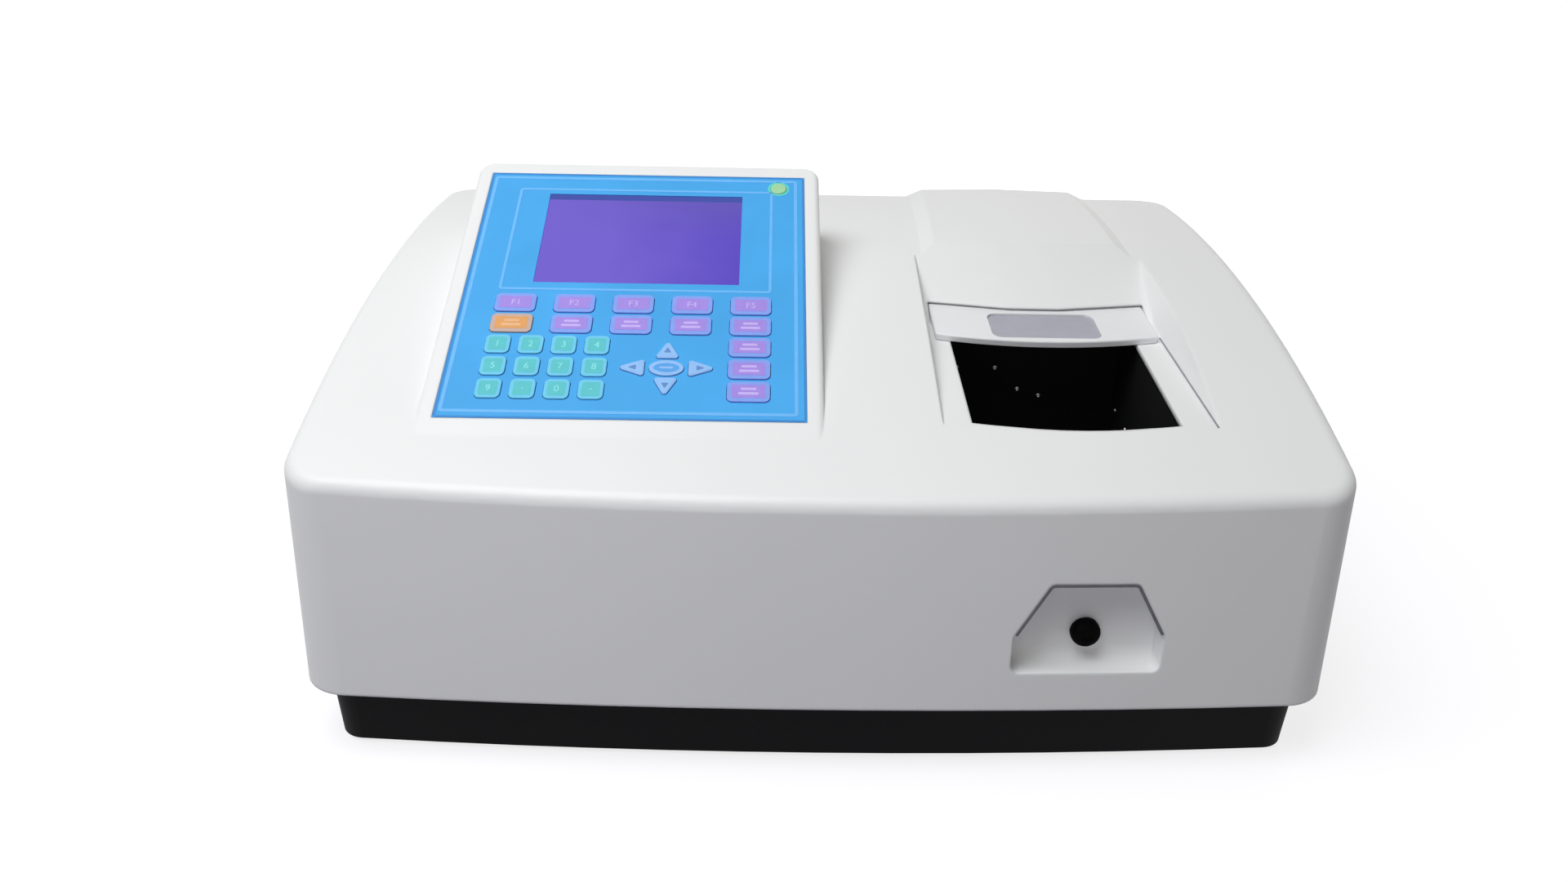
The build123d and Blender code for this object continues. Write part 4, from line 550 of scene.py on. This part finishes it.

# Keypad board and display: a green board of snap domes under the keys, and a backlit violet display in
# its frame, under a clear pane that fills the film's window. A dark blue band along the pane's top is painted
# shade of the window's upper edge.
panel_slope, film_thickness = radians(27.8), 0.001
film_low, film_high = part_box("keypad_overlay")
panel_origin = np.array([(film_low.x + film_high.x) / 2, film_low.y,
                         film_low.z + film_thickness * cos(panel_slope)])
panel_width = film_high.x - film_low.x
panel_length = (film_high.z - panel_origin[2]) / sin(panel_slope)
dress("keypad_board", grown_finish("dome_board", (0.02, 0.14, 0.05), drift=0.3, patch=0.004, rough=0.35))
dress("lcd_module", grown_finish("display_frame", (0.05, 0.055, 0.10), drift=0.2, patch=0.01, rough=0.45))
screen_violet, screen_blue, screen_dull = (0.135, 0.092, 0.49), (0.075, 0.045, 0.41), (0.095, 0.07, 0.33)
# The second colour below is painted shade: the dark blue band where the window's upper edge shades the pane.
screen_base, screen_painted_shade = (0.035, 0.024, 0.13), (0.018, 0.058, 0.26)
screen_shine, screen_roughness, violet_end = 0.12, 0.22, 0.35
patch_scale, patch_detail, patch_strength = 40.0, 2.0, 0.3
screen_depth, screen_thickness, screen_chamfer = 0.0003, 0.0033, 0.0001
# The last number below is where that band of painted shade begins along the panel.
window_middle, window_size, screen_corner, shade_band_edge = 0.1432, (0.1200, 0.0793), 0.0003, 0.1778


def backlit_glass():
    """Pane over a backlit display: bluer to the right, duller in its upper right corner, softly patchy,
    with a dark blue band above a line of constant v near the pane's top: painted shade of the window's edge."""
    material, tree, shader = open_material("display_glass")
    place = node(tree, "TexCoord").outputs["Object"]
    parts = node(tree, "SeparateXYZ")
    feed(tree, place, parts.inputs[0])
    half_width, half_height = window_size[0] / 2, window_size[1] / 2
    across = remapped(tree, parts.outputs["X"], panel_origin[0] - half_width, panel_origin[0] + half_width)
    middle_z = panel_origin[2] + window_middle * sin(panel_slope)
    upward = remapped(tree, parts.outputs["Z"], middle_z, middle_z + half_height * sin(panel_slope))
    patches = node(tree, "TexNoise", scale=patch_scale, detail=patch_detail)
    feed(tree, place, patches.inputs["Vector"])
    drift = reckon(tree, "MULTIPLY_ADD", patches.outputs["Fac"], patch_strength, -patch_strength / 2)
    side = node(tree, "ValToRGB")
    for stop, at, colour in zip(side.color_ramp.elements, (violet_end, 1.0), (screen_violet, screen_blue)):
        stop.position, stop.color = at, (*colour, 1)
    feed(tree, reckon(tree, "ADD", across, drift, use_clamp=True), side.inputs["Fac"])
    corner = reckon(tree, "MULTIPLY", across, upward)
    lit = blend(tree, "RGBA", corner, side.outputs["Color"], (*screen_dull, 1))
    # Above this height the pane shows the band of painted shade in place of its own glow.
    shade_band_z = panel_origin[2] + shade_band_edge * sin(panel_slope) - screen_depth * cos(panel_slope)
    above = reckon(tree, "GREATER_THAN", parts.outputs["Z"], shade_band_z)
    feed(tree, blend(tree, "RGBA", above, lit, (*screen_painted_shade, 1)), shader.inputs["Emission Color"])
    shader.inputs["Base Color"].default_value = (*screen_base, 1)
    shader.inputs["Emission Strength"].default_value = 1.0
    shader.inputs["Specular IOR Level"].default_value = screen_shine
    shader.inputs["Roughness"].default_value = screen_roughness
    return material


window_path = rounded_box(*window_size, screen_corner, (0, window_middle), steps=3)
screen_points, screen_faces = carried(window_path, plate(-screen_depth - screen_thickness, -screen_depth,
                                                         screen_chamfer))
add_piece("display_glass", laid(screen_points, panel_origin, panel_slope), screen_faces,
          [backlit_glass()], "case", "display_glass")

# Status lamp: a domed, pale green translucent lens with a collar under the housing's top, pushed up
# through its hole. A ring of teal on the film round it is painted glow of the lamp.
lamp_side_inset, lamp_top_inset, lamp_hole_radius, halo_width = 0.0162, 0.0113, 0.0052, 0.0016
lens_green, glow_green, lens_glow = (0.32, 0.61, 0.33), (0.30, 0.62, 0.34), 0.08
halo_teal = (0.12, 0.66, 0.60)
print_rise, print_chamfer = 0.00012, 0.00004
lamp_lens = grown_finish("lamp_lens", lens_green, drift=0.12, patch=0.004, rough=0.25)
lens_shader = lamp_lens.node_tree.nodes["Principled BSDF"]
lens_shader.inputs["Emission Color"].default_value = (*glow_green, 1)
lens_shader.inputs["Emission Strength"].default_value = lens_glow
dress("status_led", lamp_lens)


def ink(name, colour):
    """Screen-printed ink on the film: nearly even, slightly rough, with the film's fine grain."""
    return grown_finish(name, colour, drift=0.06, patch=0.006, rough=0.45, grain=0.0004, depth=0.000008,
                        level=0.15)


def print_on(name, parts, inks, body, slot):
    """A piece of print on the panel, from parts (points, faces, ink's number) in panel coordinates."""
    points, faces, kinds = gathered(parts)
    return add_piece(name, laid(points, panel_origin, panel_slope), faces, inks, body, slot, kinds)


def oval_path(half_across, half_up, steps=40):
    """Points and normals of an ellipse: (a cos t, b sin t), and (b cos t, a sin t) over its length."""
    turn = np.linspace(0, 2 * pi, steps, endpoint=False)
    points = np.column_stack([half_across * np.cos(turn), half_up * np.sin(turn)])
    normals = np.column_stack([half_up * np.cos(turn), half_across * np.sin(turn)])
    return points, normals / np.linalg.norm(normals, axis=1, keepdims=True)


lamp_spot = np.array([panel_width / 2 - lamp_side_inset, panel_length - lamp_top_inset, 0.0])
halo_radius = lamp_hole_radius + halo_width / 2
halo_points, halo_faces = carried(oval_path(halo_radius, halo_radius), strip(halo_width, 0.0, print_rise),
                                  loop=True)
# The teal ring is painted glow of the status lamp on the film.
print_on("lamp_halo", [(halo_points + lamp_spot, halo_faces, 0)], [ink("halo_painted_glow", halo_teal)],
         "case", "film_print")

# Keypad film: blue polyester with a satin face, glued into the housing's shallow seat. Its print has a
# pale line round the edge, a frame round the display's window and a dark border.
film_blue = (0.070, 0.40, 0.83)
line_blue, border_blue, line_corner = (0.17, 0.50, 0.93), (0.055, 0.27, 0.66), 0.0012
dress("keypad_overlay", grown_finish("film_polyester", film_blue, drift=0.10, patch=0.05, rough=0.45,
                                     grain=0.0005, depth=0.00001, level=0.15))
# Each line's left and right in panel widths, its low and high side in panel lengths, its width and ink.
edge_line = ((0.0165, 0.972), (0.024, 0.979), 0.0020, 0)
frame_line = ((0.1035, 0.8955), (0.483, 0.925), 0.0016, 0)
border_line = ((0.0038, 0.9962), (0.0038, 0.9962), 0.0014, 1)
lines = []
for (left, right), (low, high), width, kind in (edge_line, frame_line, border_line):
    middle = ((left + right - 1) / 2 * panel_width, (low + high) / 2 * panel_length)
    route = rounded_box((right - left) * panel_width, (high - low) * panel_length, line_corner, middle)
    lines.append((*carried(route, strip(width, 0.0, print_rise), loop=True), kind))
print_on("film_lines", lines, [ink("line_ink", line_blue), ink("border_ink", border_blue)],
         "case", "film_print")

# Keys: thirty embossed pads of the film, each with a printed border, field and legend. The twelve square
# ones carry plain numbers and signs, the wide ones F1 to F5 or two bars, the arrows a small dark mark, and
# the oval one a single bar.
key_rise, field_rise, legend_rise = 0.0009, 0.00010, 0.00008
wide_size, square_size, key_corner = (0.0234, 0.0144), (0.0138, 0.0138), 0.0032
wide_border, square_border = 0.0026, 0.0020
upright_arrow, side_arrow = (0.0134, 0.0142), (0.0158, 0.0128)
arrow_corner, arrow_border, mark_share, mark_corner = 0.0016, 0.0008, 0.34, 0.0004
oval_size, oval_border, enter_bar = (0.0192, 0.0114), 0.0024, (0.0075, 0.0014, 0.0006)
legend_height, letter_steps, bar_height, bar_roundness = 0.0062, 3, 0.0018, 0.45
# Each bar's height above the key's middle, and its width.
bar_rows = ((0.0017, 0.0086), (-0.0016, 0.0112))
signs = "123456789.0-"
arrow_blue = (0.30, 0.54, 0.92)
key_colours = {"purple_border": (0.24, 0.37, 0.87), "purple_field": (0.38, 0.27, 0.77),
               "purple_legend": (0.58, 0.46, 0.90), "green_border": (0.17, 0.60, 0.84),
               "green_field": (0.12, 0.56, 0.60), "green_legend": (0.27, 0.80, 0.82),
               "orange_border": (0.58, 0.43, 0.38), "orange_field": (0.76, 0.37, 0.13),
               "orange_legend": (0.82, 0.49, 0.27), "blue_border": arrow_blue, "blue_field": arrow_blue,
               "blue_mark": (0.13, 0.27, 0.58), "oval_field": (0.11, 0.38, 0.82)}
key_inks = {name: ink(name, colour) for name, colour in key_colours.items()}
slot_of = {row["node"]: row["material_slot"] for row in frame["record"]["subparts"]}
field_low, field_high = key_rise - field_rise, key_rise + field_rise
legend_low = field_high - print_chamfer


def panel_spot(name):
    """Where the middle of a key's box lies on the panel: (x, along, 0)."""
    low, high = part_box(name)
    offset = np.array((low + high) / 2) - panel_origin
    return np.array([offset[0], offset[1] * cos(panel_slope) + offset[2] * sin(panel_slope), 0.0])


def lettering(sign):
    """A printed sign: the outline of a plain letter face, thickened by its rise and centred on its box."""
    text = bpy.data.curves.new("sign", "FONT")
    text.body, text.size, text.extrude = sign, legend_height, legend_rise / 2
    text.resolution_u = letter_steps
    holder = bpy.data.objects.new("sign", text)
    mesh = bpy.data.meshes.new_from_object(holder)
    points = np.zeros(len(mesh.vertices) * 3)
    mesh.vertices.foreach_get("co", points)
    points = points.reshape(-1, 3)
    points[:, :2] -= (points[:, :2].min(0) + points[:, :2].max(0)) / 2
    points[:, 2] += legend_low + legend_rise / 2
    faces = [list(face.vertices) for face in mesh.polygons]
    bpy.data.objects.remove(holder)
    bpy.data.curves.remove(text)
    bpy.data.meshes.remove(mesh)
    return points, faces


def key_field(path, border):
    """The coloured field of a key, a thin plate set in from the key's outline by its border."""
    return carried(path, plate(field_low, field_high, print_chamfer, border))


def key_mark(path):
    """A printed mark on a key's field, a thin plate with the path as its outline."""
    return carried(path, plate(legend_low, legend_low + legend_rise, print_chamfer))


def arrow_core(direction):
    """Middles of an arrow key's rounded corners: a triangle of its length and width, shrunk by the corners'
    radius, moved so that the rounded shape is centred, and turned to its direction."""
    length, width = upright_arrow if direction in ("up", "down") else side_arrow
    lean = atan(width / 2 / length)
    tip = length / 2 - arrow_corner / sin(lean)
    foot = width / 2 - arrow_corner / tan(pi / 4 - lean / 2)
    base = arrow_corner - length / 2
    shift = (arrow_corner / sin(lean) - arrow_corner) / 2
    turn = {"up": 0, "left": pi / 2, "down": pi, "right": -pi / 2}[direction]
    swing = np.array([[cos(turn), sin(turn)], [-sin(turn), cos(turn)]])
    return (np.array([(-foot, base), (foot, base), (0, tip)]) + (0, shift)) @ swing


def key_print(name, slot):
    """Parts (points, faces, ink's number) of one key's print, and the names of its two inks."""
    family, which = name.split("_")[0], name.rsplit("_", 1)[1]
    if family == "number":
        field = key_field(rounded_box(*square_size, key_corner), square_border)
        return [(*field, 0), (*lettering(signs[int(which) - 1]), 1)], ("green_field", "green_legend")
    if family == "arrow":
        core = arrow_core(which)
        field = key_field(rounded_path(core, arrow_corner), arrow_border)
        mark = key_mark(rounded_path(core * mark_share, mark_corner, steps=3))
        return [(*field, 0), (*mark, 1)], ("blue_field", "blue_mark")
    if family == "enter":
        field = key_field(oval_path(oval_size[0] / 2, oval_size[1] / 2), oval_border)
        bar = key_mark(rounded_box(*enter_bar, steps=4))
        return [(*field, 1), (*bar, 0)], ("blue_field", "oval_field")
    if family == "function":
        marks = [lettering("F" + which)]
    else:
        marks = [key_mark(rounded_box(width, bar_height, bar_height * bar_roundness, (0, height), steps=4))
                 for height, width in bar_rows]
    field = key_field(rounded_box(*wide_size, key_corner), wide_border)
    colour = "orange" if slot == "key_orange" else "purple"
    return [(*field, 0), *[(*mark, 1) for mark in marks]], (colour + "_field", colour + "_legend")


families = ("number", "function", "command", "menu", "shift", "arrow", "enter")
for name in (n for n in frame["nodes"] if "_key" in n and n.split("_")[0] in families):
    slot = slot_of[name]
    dress(name, key_inks[slot.removeprefix("key_") + "_border"])
    spot = panel_spot(name)
    parts, ink_names = key_print(name, slot)
    print_on(name + "_print", [(points + spot, faces, kind) for points, faces, kind in parts],
             [key_inks[ink_name] for ink_name in ink_names], name + "_pad", slot)

low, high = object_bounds()
